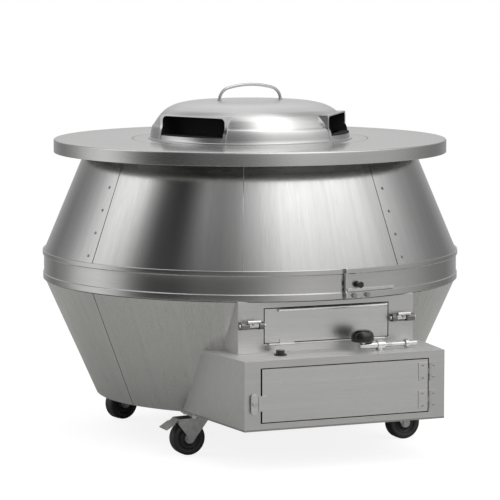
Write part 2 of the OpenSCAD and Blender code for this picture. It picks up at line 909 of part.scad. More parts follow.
module tray_door() {
  third = door_hinge_h / 3;
  color(steel)
    difference() {
      union() {
        difference() {
          translate([-door_half_w, -tray_front, door_low_z])
            cube([2 * door_half_w, door_depth, door_h]);
          translate([-door_half_w + sheet_t, -tray_front + sheet_t, door_low_z + sheet_t])
            cube([2 * (door_half_w - sheet_t), door_depth, door_h - 2 * sheet_t]);
        }
        for (z = door_hinge_zs) {
          translate([door_half_w - door_leaf_w, -tray_front - face_gap - leaf_t, z - door_hinge_h / 2])
            cube([door_leaf_w, leaf_t + face_gap, door_hinge_h]);
          translate([door_half_w - 1, -tray_front - face_gap - leaf_t, z - third / 2 + face_gap])
            cube([door_hinge_x - door_half_w + 1, leaf_t, third - 2 * face_gap]);
          z_knuckle(z - third / 2 + face_gap, third - 2 * face_gap, hinge_knuckle_r);
        }
        translate([keeper_x, -tray_front - face_gap - keeper_t, door_latch_z - keeper_h / 2])
          cube([keeper_w, keeper_t, keeper_h]);
        translate([-door_half_w, -tray_front - face_gap, door_latch_z - keeper_h / 2])
          cube([keeper_x + keeper_w + door_half_w, face_gap, keeper_h]);
      }
      for (z = door_hinge_zs)
        z_knuckle(z - door_hinge_h / 2 - 1, door_hinge_h + 2, hinge_pin_r + pin_gap);
    }
}

module door_hinges() {
  third = door_hinge_h / 3;
  color("gainsboro")
    for (z = door_hinge_zs)
      union() {
        for (low = [z - door_hinge_h / 2, z + third / 2]) {
          z_knuckle(low, third, hinge_knuckle_r);
          translate([door_hinge_x, -tray_front - leaf_t, low])
            cube([frame_leaf_w, leaf_t, third]);
        }
        translate([door_hinge_x + hinge_knuckle_r + 0.5, -tray_front - leaf_t, z - door_hinge_h / 2])
          cube([frame_leaf_w - hinge_knuckle_r - 0.5, leaf_t, door_hinge_h]);
        z_knuckle(z - door_hinge_h / 2, door_hinge_h, hinge_pin_r);
      }
}

module door_latch() {
  color("gainsboro")
    translate([door_latch_x, -tray_front - door_latch_standoff, door_latch_z])
      rotate([90, 0, 0])
        difference() {
          union() {
            translate([-door_latch_half_w, -door_latch_half_len + door_latch_half_w, 0])
              cube([2 * door_latch_half_w, 2 * (door_latch_half_len - door_latch_half_w), door_latch_t]);
            for (s = [-1, 1])
              translate([0, s * (door_latch_half_len - door_latch_half_w), 0])
                cylinder(r = door_latch_half_w, h = door_latch_t);
          }
          translate([0, 0, -1])
            cylinder(r = stud_r + pin_gap, h = door_latch_t + 2);
        }
}

module drip_tray() {
  color("gray")
    difference() {
      translate([-pan_half_w, -pan_front, pan_z])
        cube([2 * pan_half_w, pan_front + pan_back, pan_h]);
      translate([-pan_half_w + pan_t, -pan_front + pan_t, pan_z + pan_t])
        cube([2 * (pan_half_w - pan_t), pan_front + pan_back - 2 * pan_t, pan_h]);
    }
}

module tray_runners() {
  rest_z = pan_z - face_gap;
  color(dark_steel)
    for (sx = [-1, 1])
      union() {
        translate([sx * (pan_half_w + 2 - runner_w / 2) - runner_w / 2, -runner_front, tray_floor_z])
          cube([runner_w, runner_front + pan_back, rest_z - tray_floor_z]);
        translate([sx * (pan_half_w + 1.5) - 1, -runner_front, tray_floor_z])
          cube([2, runner_front + pan_back, rest_z - tray_floor_z + runner_lip_h]);
      }
}

// ---- Burner and gas fittings ----

module burner_ring() {
  color("#3a3a3a")
    union() {
      translate([0, 0, burner_z])
        rotate_extrude()
          translate([burner_r, 0])
            circle(burner_tube_r);
      rod([0, -burner_socket_front, burner_z], [0, -burner_r, burner_z], burner_socket_r);
      for (a = [90, 210, 330])
        translate([burner_r * cos(a), burner_r * sin(a), ledge_z])
          cylinder(r = burner_leg_r, h = burner_z - ledge_z);
    }
}

module venturi_tube() {
  color("#3a3a3a")
    difference() {
      union() {
        rod([0, -venturi_front, burner_z], [0, -burner_socket_front, burner_z], venturi_r);
        rod([0, -venturi_front, burner_z], [0, -venturi_front + 12, burner_z], venturi_r + 5);
      }
      rod([0, -venturi_front - 1, burner_z], [0, -burner_socket_front + 1, burner_z], venturi_bore_r);
    }
}

module flame_deflector() {
  color(dark_steel)
    union() {
      translate([0, 0, deflector_z])
        cylinder(r = deflector_r, h = deflector_t);
      for (a = [30, 150, 270])
        translate([deflector_leg_ring_r * cos(a), deflector_leg_ring_r * sin(a), ledge_z])
          cylinder(r = deflector_leg_r, h = deflector_z - ledge_z);
    }
}

module spark_electrode() {
  color("white")
    translate(concat(electrode_at, [ledge_z]))
      union() {
        cylinder(r = 5, h = burner_z - ledge_z);
        cylinder(r = 1.5, h = burner_z - ledge_z + 14);
      }
}

module gas_valve() {
  x_end = knob_x + valve_len_right;
  color("gainsboro")
    union() {
      rod([knob_x - valve_r, valve_y, valve_z], [x_end, valve_y, valve_z], valve_r);
      rod([x_end - 22, valve_y, valve_z], [x_end - 4, valve_y, valve_z], valve_r + 2.5);
      rod([x_end, valve_y, valve_z], [inlet_x, valve_y, valve_z], valve_r - 3);
      translate([knob_x, valve_y, valve_z])
        cylinder(r = valve_r - 1, h = valve_r);
      translate([knob_x, valve_y, valve_z])
        cylinder(r = spindle_r, h = spindle_h);
      translate([outlet_x, valve_y, ledge_z])
        cylinder(r = pipe_r + 3, h = valve_z - ledge_z);
    }
}

module gas_knob() {
  dome_h = knob_h - knob_straight_h;
  color(black)
    translate([knob_x, valve_y, knob_z])
      difference() {
        rotate_extrude()
          polygon(concat(
            [[0, 0], [knob_r - 2, 0], [knob_r, 2]],
            [for (i = [0 : 8]) let (a = i * 90 / 8) [knob_r * pow(cos(a), 0.75), knob_straight_h + dome_h * sin(a)]]
          ));
        translate([0, 0, -1])
          cylinder(r = spindle_r + pin_gap, h = spindle_h - valve_r + 1);
      }
}

module gas_pipe() {
  points = [
    [outlet_x, valve_y, ledge_z], [outlet_x, valve_y, pipe_low_z], [outlet_x, -riser_y, pipe_low_z],
    [0, -riser_y, pipe_low_z], [0, -riser_y, burner_z], [0, -venturi_front + 6, burner_z]
  ];
  color("darkgoldenrod")
    union() {
      for (i = [0 : len(points) - 2])
        rod(points[i], points[i + 1], pipe_r);
      for (i = [1 : len(points) - 2])
        translate(points[i])
          sphere(pipe_r);
    }
}

module gas_inlet() {
  color("gainsboro")
    union() {
      rod([inlet_x, valve_y, valve_z], [inlet_x + 8, valve_y, valve_z], inlet_r + 4);
      rod([inlet_x + 8, valve_y, valve_z], [inlet_x + 8 + inlet_len, valve_y, valve_z], inlet_r);
    }
}

module igniter_body() {
  color(black)
    translate(concat(igniter_at, [ledge_z]))
      difference() {
        union() {
          cylinder(r = igniter_body_r, h = igniter_collar_h);
          translate([0, 0, -igniter_depth])
            cylinder(r = igniter_body_r - 2.3, h = igniter_depth + 1);
        }
        translate([0, 0, -igniter_travel - 3])
          cylinder(r = igniter_button_r + pin_gap * 2, h = igniter_depth);
      }
}

module igniter_button() {
  color(black)
    translate(concat(igniter_at, [ledge_z - 2]))
      cylinder(r = igniter_button_r, h = igniter_button_h + 2);
}

// ---- Casters ----

module caster_plates() {
  color("lightgray")
    for (c = casters)
      translate([c[0], c[1], 0])
        difference() {
          union() {
            translate([-caster_plate_w / 2, -caster_plate_l / 2, base_z - caster_plate_t])
              cube([caster_plate_w, caster_plate_l, caster_plate_t]);
            translate([0, 0, cup_z])
              cylinder(r = cup_r, h = base_z - caster_plate_t - cup_z);
            translate([0, 0, crown_z - 1])
              cylinder(r = king_r, h = cup_z - crown_z + 1);
          }
          for (sx = [-1, 1], sy = [-1, 1])
            translate([sx * caster_bolt_x, sy * caster_bolt_y, base_z - caster_plate_t - 1])
              cylinder(r = caster_bolt_r + 0.2, h = caster_plate_t + 2);
        }
}

module caster_bolts() {
  color(dark_steel)
    for (c = casters, sx = [-1, 1], sy = [-1, 1])
      translate([c[0] + sx * caster_bolt_x, c[1] + sy * caster_bolt_y, base_z - caster_plate_t])
        union() {
          cylinder(r = caster_bolt_r, h = caster_plate_t + base_t);
          translate([0, 0, -4])
            cylinder(r = caster_bolt_r + 2.5, h = 4, $fn = 6);
        }
}

module placed_caster(i) {
  translate([casters[i][0], casters[i][1], 0])
    rotate([0, 0, casters[i][2]])
      children();
}

// The fork's legs trail along +X from the swivel; braked forks have ears for the pedal's pin
module fork_leg(braked) {
  difference() {
    union() {
      polygon([[-20, crown_top_z], [20, crown_top_z], [trail + 10, wheel_r + 4], [trail - 10, wheel_r - 5]]);
      translate([trail, wheel_r])
        circle(12);
      if (braked)
        polygon([[8, crown_top_z], [pedal_x, pedal_z + 7], [pedal_x + 5, pedal_z - 6], [trail + 8, wheel_r + 8]]);
      if (braked)
        translate([pedal_x, pedal_z])
          circle(7);
    }
    translate([trail, wheel_r])
      circle(axle_r + pin_gap);
    if (braked)
      translate([pedal_x, pedal_z])
        circle(pedal_pin_r + pin_gap);
  }
}

module cross_pin(x, z, r, reach, head_r) {
  translate([x, 0, z])
    rotate([90, 0, 0]) {
      translate([0, 0, -reach])
        cylinder(r = r, h = 2 * reach);
      for (low = [-reach, reach - 3])
        translate([0, 0, low])
          cylinder(r = head_r, h = 3);
    }
}

module fork(braked) {
  color("lightgray") {
    difference() {
      union() {
        translate([0, 0, crown_z])
          cylinder(r = crown_r, h = crown_top_z - crown_z);
        for (side = [-1, 1])
          translate([0, side > 0 ? fork_half_w + fork_leg_t : -fork_half_w, 0])
            rotate([90, 0, 0])
              linear_extrude(fork_leg_t)
                fork_leg(braked);
      }
      translate([0, 0, crown_z - 1])
        cylinder(r = king_r + pin_gap, h = crown_top_z - crown_z + 2);
    }
    cross_pin(trail, wheel_r, axle_r, fork_half_w + fork_leg_t + 3, 9);
    if (braked)
      cross_pin(pedal_x, pedal_z, pedal_pin_r, fork_half_w + fork_leg_t + 3, 5);
  }
}

module wheel() {
  edge = 6;
  tread_w = wheel_w - 2 * edge;
  color(black)
    translate([trail, 0, wheel_r])
      rotate([90, 0, 0])
        rotate_extrude()
          union() {
            translate([axle_r + pin_gap, -wheel_w / 2])
              square([9, wheel_w]);
            translate([axle_r + pin_gap, -wheel_w / 4])
              square([wheel_r - axle_r - 2 * edge, wheel_w / 2]);
            translate([wheel_r - 16, -wheel_w / 2])
              square([16 - edge, wheel_w]);
            translate([wheel_r - edge, -tread_w / 2])
              square([edge, tread_w]);
            for (s = [-1, 1])
              translate([wheel_r - edge, s * tread_w / 2])
                circle(edge);
          }
}

module pedal() {
  color("lightgray")
    difference() {
      union() {
        translate([pedal_x, 0, pedal_z])
          rotate([90, 0, 0])
            translate([0, 0, -fork_half_w + 0.5])
              cylinder(r = 6, h = 2 * fork_half_w - 1);
        translate([pedal_x, 0, pedal_z])
          rotate([0, pedal_slope, 0]) {
            translate([0, -fork_half_w + 0.5, pedal_pin_r + 1])
              cube([pedal_len, 2 * fork_half_w - 1, pedal_t]);
            translate([14, -fork_half_w - 5, pedal_pin_r + 1])
              cube([pedal_len - 14, 2 * fork_half_w + 10, pedal_t]);
          }
      }
      translate([pedal_x, 0, pedal_z])
        rotate([90, 0, 0])
          translate([0, 0, -fork_half_w - 6])
            cylinder(r = pedal_pin_r + pin_gap, h = 2 * fork_half_w + 12);
    }
}

at_axis() {
  base_plate();
  deck_legs();
  pot_deck();
  lower_panel(0);  // lower_panel_1
  lower_panel(1);  // lower_panel_2
  lower_panel(2);  // lower_panel_3
  lower_panel(3);  // lower_panel_4
  upper_panel(0);  // upper_panel_1
  upper_panel(1);  // upper_panel_2
  upper_panel(2);  // upper_panel_3
  upper_panel(3);  // upper_panel_4
  belly_band();
  inner_hoop();
  band_clamp_strap();
  band_clamp_knob();
  band_clamp_bolts();
  panel_rivets();
  worktop();
  top_ring();
  mouth_collar();
  clay_pot();
  insulation();
  lid_dome();
  lid_vent_hoods();
  lid_handle();
  lid_handle_nuts();
  burner_housing();
  burner_flap();
  flap_hinge();
  bolt_guides();
  flap_bolt(-1);  // flap_bolt_left
  flap_bolt(1);  // flap_bolt_right
  tray_housing();
  tray_door();
  door_hinges();
  door_latch();
  drip_tray();
  tray_runners();
  burner_ring();
  venturi_tube();
  flame_deflector();
  spark_electrode();
  gas_valve();
  gas_knob();
  gas_pipe();
  gas_inlet();
  igniter_body();
  igniter_button();
  caster_plates();
  caster_bolts();
  placed_caster(0) fork(true);  // fork_front_left
  placed_caster(1) fork(true);  // fork_front_right
  placed_caster(2) fork(false);  // fork_rear_left
  placed_caster(3) fork(false);  // fork_rear_right
  placed_caster(0) wheel();  // wheel_front_left
  placed_caster(1) wheel();  // wheel_front_right
  placed_caster(2) wheel();  // wheel_rear_left
  placed_caster(3) wheel();  // wheel_rear_right
  placed_caster(0) pedal();  // pedal_front_left
  placed_caster(1) pedal();  // pedal_front_right
}
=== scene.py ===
import json
import math

import bmesh
import bpy
from mathutils import Matrix, Vector

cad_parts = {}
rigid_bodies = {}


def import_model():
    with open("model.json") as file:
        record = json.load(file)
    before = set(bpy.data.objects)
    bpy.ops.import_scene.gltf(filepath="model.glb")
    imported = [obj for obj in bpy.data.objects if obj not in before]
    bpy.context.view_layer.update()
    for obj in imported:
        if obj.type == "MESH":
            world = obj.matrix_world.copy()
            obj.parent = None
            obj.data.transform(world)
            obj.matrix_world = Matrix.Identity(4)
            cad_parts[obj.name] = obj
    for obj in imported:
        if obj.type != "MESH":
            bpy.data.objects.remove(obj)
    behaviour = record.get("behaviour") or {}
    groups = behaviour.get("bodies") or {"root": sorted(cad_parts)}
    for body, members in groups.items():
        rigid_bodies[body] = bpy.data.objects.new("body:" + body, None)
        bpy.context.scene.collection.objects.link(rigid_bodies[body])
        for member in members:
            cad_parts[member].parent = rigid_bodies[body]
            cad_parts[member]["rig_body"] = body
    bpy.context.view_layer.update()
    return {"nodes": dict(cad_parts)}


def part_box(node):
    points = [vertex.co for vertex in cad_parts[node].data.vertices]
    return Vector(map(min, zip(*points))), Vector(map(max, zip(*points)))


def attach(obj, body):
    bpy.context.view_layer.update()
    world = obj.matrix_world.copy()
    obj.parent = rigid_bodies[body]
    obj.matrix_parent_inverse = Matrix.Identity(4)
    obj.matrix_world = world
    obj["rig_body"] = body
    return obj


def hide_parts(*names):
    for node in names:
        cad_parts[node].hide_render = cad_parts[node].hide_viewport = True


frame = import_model()
NODES = frame["nodes"]
MM = 0.001

pot_low, pot_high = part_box("clay_pot")
AXIS_Y = (pot_low.y + pot_high.y) / 2


# ---------------------------------------------------------------- node helpers


def new_material(name):
    mat = bpy.data.materials.new(name)
    mat.use_nodes = True
    nt = mat.node_tree
    nt.nodes.clear()
    out = nt.nodes.new("ShaderNodeOutputMaterial")
    bsdf = nt.nodes.new("ShaderNodeBsdfPrincipled")
    nt.links.new(bsdf.outputs["BSDF"], out.inputs["Surface"])
    return mat, nt, bsdf


def math_node(nt, op, a, b=None, c=None):
    n = nt.nodes.new("ShaderNodeMath")
    n.operation = op
    for i, v in enumerate((a, b, c)):
        if v is None:
            continue
        if isinstance(v, (int, float)):
            n.inputs[i].default_value = v
        else:
            nt.links.new(v, n.inputs[i])
    return n.outputs[0]


def object_xyz(nt):
    tc = nt.nodes.new("ShaderNodeTexCoord")
    sep = nt.nodes.new("ShaderNodeSeparateXYZ")
    nt.links.new(tc.outputs["Object"], sep.inputs[0])
    return tc.outputs["Object"], sep.outputs


def combine(nt, x, y, z):
    n = nt.nodes.new("ShaderNodeCombineXYZ")
    for i, v in enumerate((x, y, z)):
        if isinstance(v, (int, float)):
            n.inputs[i].default_value = v
        else:
            nt.links.new(v, n.inputs[i])
    return n.outputs[0]


def scaled(nt, vec, s):
    m = nt.nodes.new("ShaderNodeMapping")
    m.inputs["Scale"].default_value = s
    nt.links.new(vec, m.inputs["Vector"])
    return m.outputs[0]


def noise(nt, vec, scale, detail=4.0, rough=0.55):
    n = nt.nodes.new("ShaderNodeTexNoise")
    n.inputs["Scale"].default_value = scale
    n.inputs["Detail"].default_value = detail
    n.inputs["Roughness"].default_value = rough
    nt.links.new(vec, n.inputs["Vector"])
    return n.outputs["Fac"]


def ramp(nt, fac, stops):
    n = nt.nodes.new("ShaderNodeValToRGB")
    els = n.color_ramp.elements
    while len(els) < len(stops):
        els.new(0.5)
    for e, (p, c) in zip(els, stops):
        e.position = p
        e.color = (*c, 1.0) if isinstance(c, tuple) else (c, c, c, 1.0)
    nt.links.new(fac, n.inputs["Fac"])
    return n.outputs["Color"]


def map_range(nt, v, a, b, c, d):
    n = nt.nodes.new("ShaderNodeMapRange")
    for i, x in zip((1, 2, 3, 4), (a, b, c, d)):
        n.inputs[i].default_value = x
    nt.links.new(v, n.inputs[0])
    return n.outputs[0]


def bump(nt, bsdf, height, strength, distance):
    n = nt.nodes.new("ShaderNodeBump")
    n.inputs["Strength"].default_value = strength
    n.inputs["Distance"].default_value = distance
    nt.links.new(height, n.inputs["Height"])
    nt.links.new(n.outputs["Normal"], bsdf.inputs["Normal"])


# ---------------------------------------------------------------- materials


def grain_vector(nt, grain):
    """A vector that is stretched along the brushing: round the pot's axis, up the casing, or along X, Y or Z."""
    vec, xyz = object_xyz(nt)
    if grain in ("up", "round", "radial"):
        y = math_node(nt, "SUBTRACT", xyz[1], AXIS_Y)
        ang = math_node(nt, "ARCTAN2", xyz[0], y)
        squares = math_node(nt, "ADD", math_node(nt, "POWER", xyz[0], 2.0), math_node(nt, "POWER", y, 2.0))
        rad = math_node(nt, "SQRT", squares)
        arc = math_node(nt, "MULTIPLY", ang, 0.45)
        if grain == "up":
            return combine(nt, math_node(nt, "MULTIPLY", arc, 30.0), 0.0, xyz[2])
        if grain == "round":
            return combine(nt, arc, math_node(nt, "MULTIPLY", rad, 30.0), math_node(nt, "MULTIPLY", xyz[2], 30.0))
        return combine(nt, math_node(nt, "MULTIPLY", arc, 30.0), rad, xyz[2])
    return scaled(nt, vec, {"x": (1.0, 30.0, 30.0), "y": (30.0, 1.0, 30.0), "z": (30.0, 30.0, 1.0)}[grain])


def steel(name, tone, rough, grain, contrast=1.0, warm=0.006, relief=0.12):
    mat, nt, b = new_material(name)
    b.inputs["Metallic"].default_value = 1.0
    g = grain_vector(nt, grain)
    fine = noise(nt, g, 22.0, 5.0, 0.65)
    broad = noise(nt, g, 2.2, 3.0, 0.5)
    vec, _ = object_xyz(nt)
    cloud = noise(nt, vec, 6.0, 3.0, 0.5)
    mixed = math_node(nt, "ADD", math_node(nt, "MULTIPLY", fine, 0.5), math_node(nt, "MULTIPLY", broad, 0.3))
    mixed = math_node(nt, "ADD", mixed, math_node(nt, "MULTIPLY", cloud, 0.2))
    d = 0.07 * contrast
    dark = tuple(max(0.0, tone - d + w) for w in (warm, warm * 0.5, -warm))
    light = tuple(min(1.0, tone + d + w) for w in (warm, warm * 0.5, -warm))
    col = ramp(nt, mixed, [(0.3, dark), (0.7, light)])
    nt.links.new(col, b.inputs["Base Color"])
    nt.links.new(map_range(nt, mixed, 0.3, 0.7, rough + 0.05, max(0.05, rough - 0.05)), b.inputs["Roughness"])
    bump(nt, b, fine, relief * contrast, 0.0004)
    return mat


def polished(name, tone, rough):
    mat, nt, b = new_material(name)
    b.inputs["Metallic"].default_value = 1.0
    vec, _ = object_xyz(nt)
    n = noise(nt, vec, 60.0, 4.0)
    nt.links.new(ramp(nt, n, [(0.3, tone - 0.06), (0.7, tone + 0.04)]), b.inputs["Base Color"])
    nt.links.new(map_range(nt, n, 0.3, 0.7, rough + 0.05, rough), b.inputs["Roughness"])
    bump(nt, b, n, 0.05, 0.0005)
    return mat


def plastic(name, tone, rough, coat=0.0):
    mat, nt, b = new_material(name)
    vec, _ = object_xyz(nt)
    n = noise(nt, vec, 220.0, 3.0)
    nt.links.new(ramp(nt, n, [(0.3, tone * 0.8), (0.7, tone * 1.3)]), b.inputs["Base Color"])
    nt.links.new(map_range(nt, n, 0.3, 0.7, rough + 0.04, rough), b.inputs["Roughness"])
    b.inputs["Coat Weight"].default_value = coat
    bump(nt, b, n, 0.05, 0.0004)
    return mat


def rubber(name):
    mat, nt, b = new_material(name)
    vec, xyz = object_xyz(nt)
    n = noise(nt, vec, 160.0, 4.0)
    dust = noise(nt, vec, 22.0, 4.0)
    col = ramp(nt, math_node(nt, "ADD", math_node(nt, "MULTIPLY", n, 0.4), math_node(nt, "MULTIPLY", dust, 0.6)),
               [(0.35, (0.012, 0.012, 0.013)), (0.75, (0.045, 0.043, 0.042))])
    nt.links.new(col, b.inputs["Base Color"])
    nt.links.new(map_range(nt, dust, 0.3, 0.7, 0.42, 0.6), b.inputs["Roughness"])
    bump(nt, b, n, 0.2, 0.0006)
    return mat


def fired_clay(name):
    mat, nt, b = new_material(name)
    vec, _ = object_xyz(nt)
    broad = noise(nt, vec, 5.0, 5.0, 0.6)
    grit = noise(nt, vec, 90.0, 6.0, 0.7)
    mixed = math_node(nt, "ADD", math_node(nt, "MULTIPLY", broad, 0.6), math_node(nt, "MULTIPLY", grit, 0.4))
    col = ramp(nt, mixed, [(0.3, (0.30, 0.15, 0.085)), (0.5, (0.48, 0.27, 0.155)), (0.72, (0.62, 0.40, 0.25))])
    nt.links.new(col, b.inputs["Base Color"])
    b.inputs["Roughness"].default_value = 0.9
    bump(nt, b, mixed, 0.5, 0.002)
    return mat


def wool(name):
    mat, nt, b = new_material(name)
    vec, _ = object_xyz(nt)
    n = noise(nt, scaled(nt, vec, (1.0, 1.0, 3.0)), 60.0, 8.0, 0.75)
    nt.links.new(ramp(nt, n, [(0.3, (0.62, 0.56, 0.42)), (0.7, (0.85, 0.81, 0.69))]), b.inputs["Base Color"])
    b.inputs["Roughness"].default_value = 1.0
    bump(nt, b, n, 0.6, 0.004)
    return mat


def ceramic(name):
    mat, nt, b = new_material(name)
    vec, _ = object_xyz(nt)
    n = noise(nt, vec, 120.0, 3.0)
    nt.links.new(ramp(nt, n, [(0.3, (0.78, 0.77, 0.73)), (0.7, (0.88, 0.87, 0.84))]), b.inputs["Base Color"])
    b.inputs["Roughness"].default_value = 0.3
    return mat


def iron(name):
    mat, nt, b = new_material(name)
    vec, _ = object_xyz(nt)
    n = noise(nt, vec, 140.0, 6.0, 0.7)
    nt.links.new(ramp(nt, n, [(0.3, (0.05, 0.048, 0.046)), (0.7, (0.13, 0.12, 0.11))]), b.inputs["Base Color"])
    b.inputs["Metallic"].default_value = 0.7
    b.inputs["Roughness"].default_value = 0.7
    bump(nt, b, n, 0.4, 0.001)
    return mat


def brass(name):
    mat, nt, b = new_material(name)
    vec, _ = object_xyz(nt)
    n = noise(nt, vec, 30.0, 5.0)
    nt.links.new(ramp(nt, n, [(0.3, (0.60, 0.40, 0.16)), (0.7, (0.80, 0.60, 0.30))]), b.inputs["Base Color"])
    b.inputs["Metallic"].default_value = 1.0
    nt.links.new(map_range(nt, n, 0.3, 0.7, 0.38, 0.28), b.inputs["Roughness"])
    return mat


M = {
    "panel": steel("panel_steel", 0.62, 0.19, "up", warm=0.002),
    "low_panel": steel("lower_panel_steel", 0.60, 0.26, "up"),
    "band": steel("band_steel", 0.60, 0.20, "round", 0.6, relief=0.05),
    "top": steel("worktop_steel", 0.63, 0.26, "round", 0.5, 0.003, relief=0.03),
    "lid": steel("lid_steel", 0.66, 0.30, "round", 0.4, 0.002, relief=0.03),
    "trim": steel("vent_trim_steel", 0.80, 0.18, "z", 0.4, 0.0, relief=0.03),
    "handle": steel("handle_wire_steel", 0.52, 0.22, "x", 0.6, 0.0, relief=0.05),
    # Brighter than the flap's own steel: painted highlight on its rolled top edge
    "roll_highlight": polished("flap_roll_painted_highlight", 0.92, 0.30),
    "seam": steel("seam_shadow_steel", 0.10, 0.55, "z", 0.4),
    "weld": steel("weld_bead_steel", 0.70, 0.3, "z", 1.0),
    "rivet": polished("rivet_steel", 0.30, 0.3),
    "screw": polished("screw_steel", 0.45, 0.25),
    "hub": polished("hub_steel", 0.35, 0.35),
    # Near-black for painted shade: seam and band gaps, vent insides, door returns and housing insides
    "painted_shade": plastic("painted_shade_black", 0.006, 0.85),
    "bolt_dark": steel("bolt_guide_steel", 0.22, 0.35, "x", 1.6, relief=0.3),
    "box": steel("housing_steel", 0.62, 0.32, "x", 0.8),
    # Lighter than the housing's steel: painted light on the housing tops, with coarser brushing
    "ledge": steel("ledge_steel", 0.82, 0.62, "x", 0.8),
    "caster": polished("caster_steel", 0.44, 0.3),
    "flap": steel("flap_steel", 0.68, 0.30, "x", 0.8),
    "dark": steel("inner_steel", 0.36, 0.45, "x", 1.2),
    "bright": polished("bright_fitting", 0.76, 0.12),
    "zinc": polished("zinc_fitting", 0.62, 0.26),
    "chrome": polished("valve_chrome", 0.74, 0.14),
    "black": plastic("black_gloss", 0.012, 0.18, 0.4),
    "black_satin": plastic("black_satin", 0.02, 0.4),
    "rubber": rubber("wheel_rubber_black"),
    "clay": fired_clay("fired_clay_body"),
    "wool": wool("insulation_wool"),
    "ceramic": ceramic("electrode_ceramic"),
    "iron": iron("burner_iron"),
    "brass": brass("pipe_brass"),
}

NODE_MATERIAL = {
    "base_plate": "dark", "deck_legs": "dark", "pot_deck": "dark", "belly_band": "band", "inner_hoop": "dark",
    "band_clamp_strap": "bright", "band_clamp_knob": "black", "band_clamp_bolts": "dark", "panel_rivets": "rivet",
    "worktop": "top", "top_ring": "top", "mouth_collar": "bright", "clay_pot": "clay", "insulation": "wool",
    "lid_dome": "lid", "lid_vent_hoods": "lid", "lid_handle": "handle", "lid_handle_nuts": "handle",
    "burner_housing": "box", "burner_flap": "flap", "flap_hinge": "box", "bolt_guides": "bolt_dark",
    "flap_bolt_left": "bright", "flap_bolt_right": "bright", "tray_housing": "box", "tray_door": "flap",
    "door_hinges": "box", "door_latch": "bright", "drip_tray": "dark", "tray_runners": "dark",
    "burner_ring": "iron", "venturi_tube": "iron", "flame_deflector": "dark", "spark_electrode": "ceramic",
    "gas_valve": "chrome", "gas_knob": "black", "gas_pipe": "brass", "gas_inlet": "chrome",
    "igniter_body": "black_satin", "igniter_button": "black", "caster_plates": "zinc", "caster_bolts": "zinc",
}
for name, obj in NODES.items():
    if name.startswith("upper_panel"):
        key = "panel"
    elif name.startswith("lower_panel"):
        key = "low_panel"
    elif name.startswith("fork") or name.startswith("pedal"):
        key = "caster"
    elif name.startswith("wheel"):
        key = "rubber"
    else:
        key = NODE_MATERIAL[name]
    obj.data.materials.clear()
    obj.data.materials.append(M[key])


# ---------------------------------------------------------------- mesh helpers


def body_of(node):
    return NODES[node]["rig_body"]


def add_object(name, me, mat, body, bevel=0.0, segments=2, limit=32.0):
    for p in me.polygons:
        p.use_smooth = True
    me.materials.clear()
    me.materials.append(M[mat])
    obj = bpy.data.objects.new(name, me)
    bpy.context.scene.collection.objects.link(obj)
    if bevel > 0:
        m = obj.modifiers.new("edges", "BEVEL")
        m.width = bevel
        m.segments = segments
        m.limit_method = "ANGLE"
        m.angle_limit = math.radians(limit)
        m.harden_normals = True
        m.use_clamp_overlap = True
    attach(obj, body)
    return obj


def dressed(node, bevel, mat=None, name=None, flat=0.4):
    """The CAD solid with its edges broken, in place of the CAD node."""
    me = NODES[node].data.copy()
    bm = bmesh.new()
    bm.from_mesh(me)
    bmesh.ops.remove_doubles(bm, verts=bm.verts, dist=2e-6)
    bmesh.ops.dissolve_limit(bm, angle_limit=math.radians(flat), verts=bm.verts, edges=bm.edges)
    bm.to_mesh(me)
    bm.free()
    key = mat or next(k for k, m in M.items() if m.name == NODES[node].data.materials[0].name)
    obj = add_object(name or node + "_sheet", me, key, body_of(node), bevel)
    even = obj.modifiers.new("even_normals", "WEIGHTED_NORMAL")
    even.weight = 100
    even.keep_sharp = True
    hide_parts(node)
    return obj


def revolve(name, profile, mat, body, a0=0.0, a1=360.0, steps=180, bevel=0.0, centre=None, replaces=()):
    """Sweeps a closed (r, z) outline round an upright axis, from plan angle a0 to a1.

    Angle 0 is the front, and positive angles lie to the right.
    """
    cx, cy = centre if centre else (0.0, AXIS_Y)
    full = abs(a1 - a0) >= 359.999
    cols = steps if full else steps + 1
    bm = bmesh.new()
    rings = []
    for i in range(cols):
        a = math.radians(a0 + (a1 - a0) * i / steps)
        s, c = math.sin(a), math.cos(a)
        rings.append([bm.verts.new((cx + r * s, cy - r * c, z)) for r, z in profile])
    n = len(profile)
    for i in range(steps):
        a, b = rings[i], rings[(i + 1) % cols]
        for j in range(n):
            k = (j + 1) % n
            quad = [a[j], a[k], b[k], b[j]]
            if profile[j][0] < 1e-7 and profile[k][0] < 1e-7:
                continue
            if profile[j][0] < 1e-7:
                quad = [a[j], a[k], b[k]]
            elif profile[k][0] < 1e-7:
                quad = [a[j], a[k], b[j]]
            bm.faces.new(quad)
    if not full:
        bm.faces.new(rings[0][::-1])
        bm.faces.new(rings[-1])
    bmesh.ops.remove_doubles(bm, verts=bm.verts, dist=1e-7)
    bmesh.ops.recalc_face_normals(bm, faces=bm.faces)
    me = bpy.data.meshes.new(name)
    bm.to_mesh(me)
    bm.free()
    obj = add_object(name, me, mat, body, bevel)
    if replaces:
        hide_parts(*replaces)
    return obj


def rounded(points, radius, steps=4, closed=True):
    """Rounds the corners of an outline; radius is one number or one per corner."""
    n = len(points)
    out = []
    for i, p in enumerate(points):
        r = radius[i] if isinstance(radius, (list, tuple)) else radius
        a, b = Vector(points[i - 1]), Vector(points[(i + 1) % n])
        p = Vector(p)
        if r <= 0 or (not closed and i in (0, n - 1)):
            out.append(tuple(p))
            continue
        u, v = (a - p), (b - p)
        lu, lv = u.length, v.length
        u.normalize()
        v.normalize()
        half = math.acos(max(-1, min(1, u.dot(v)))) / 2
        t = min(r / max(math.tan(half), 1e-6), lu * 0.48, lv * 0.48)
        p0, p1 = p + u * t, p + v * t
        for k in range(steps + 1):
            s = k / steps
            q = p0.lerp(p, s).lerp(p.lerp(p1, s), s)
            out.append(tuple(q))
    return out


def mm(points):
    return [tuple(c * MM for c in p) for p in points]


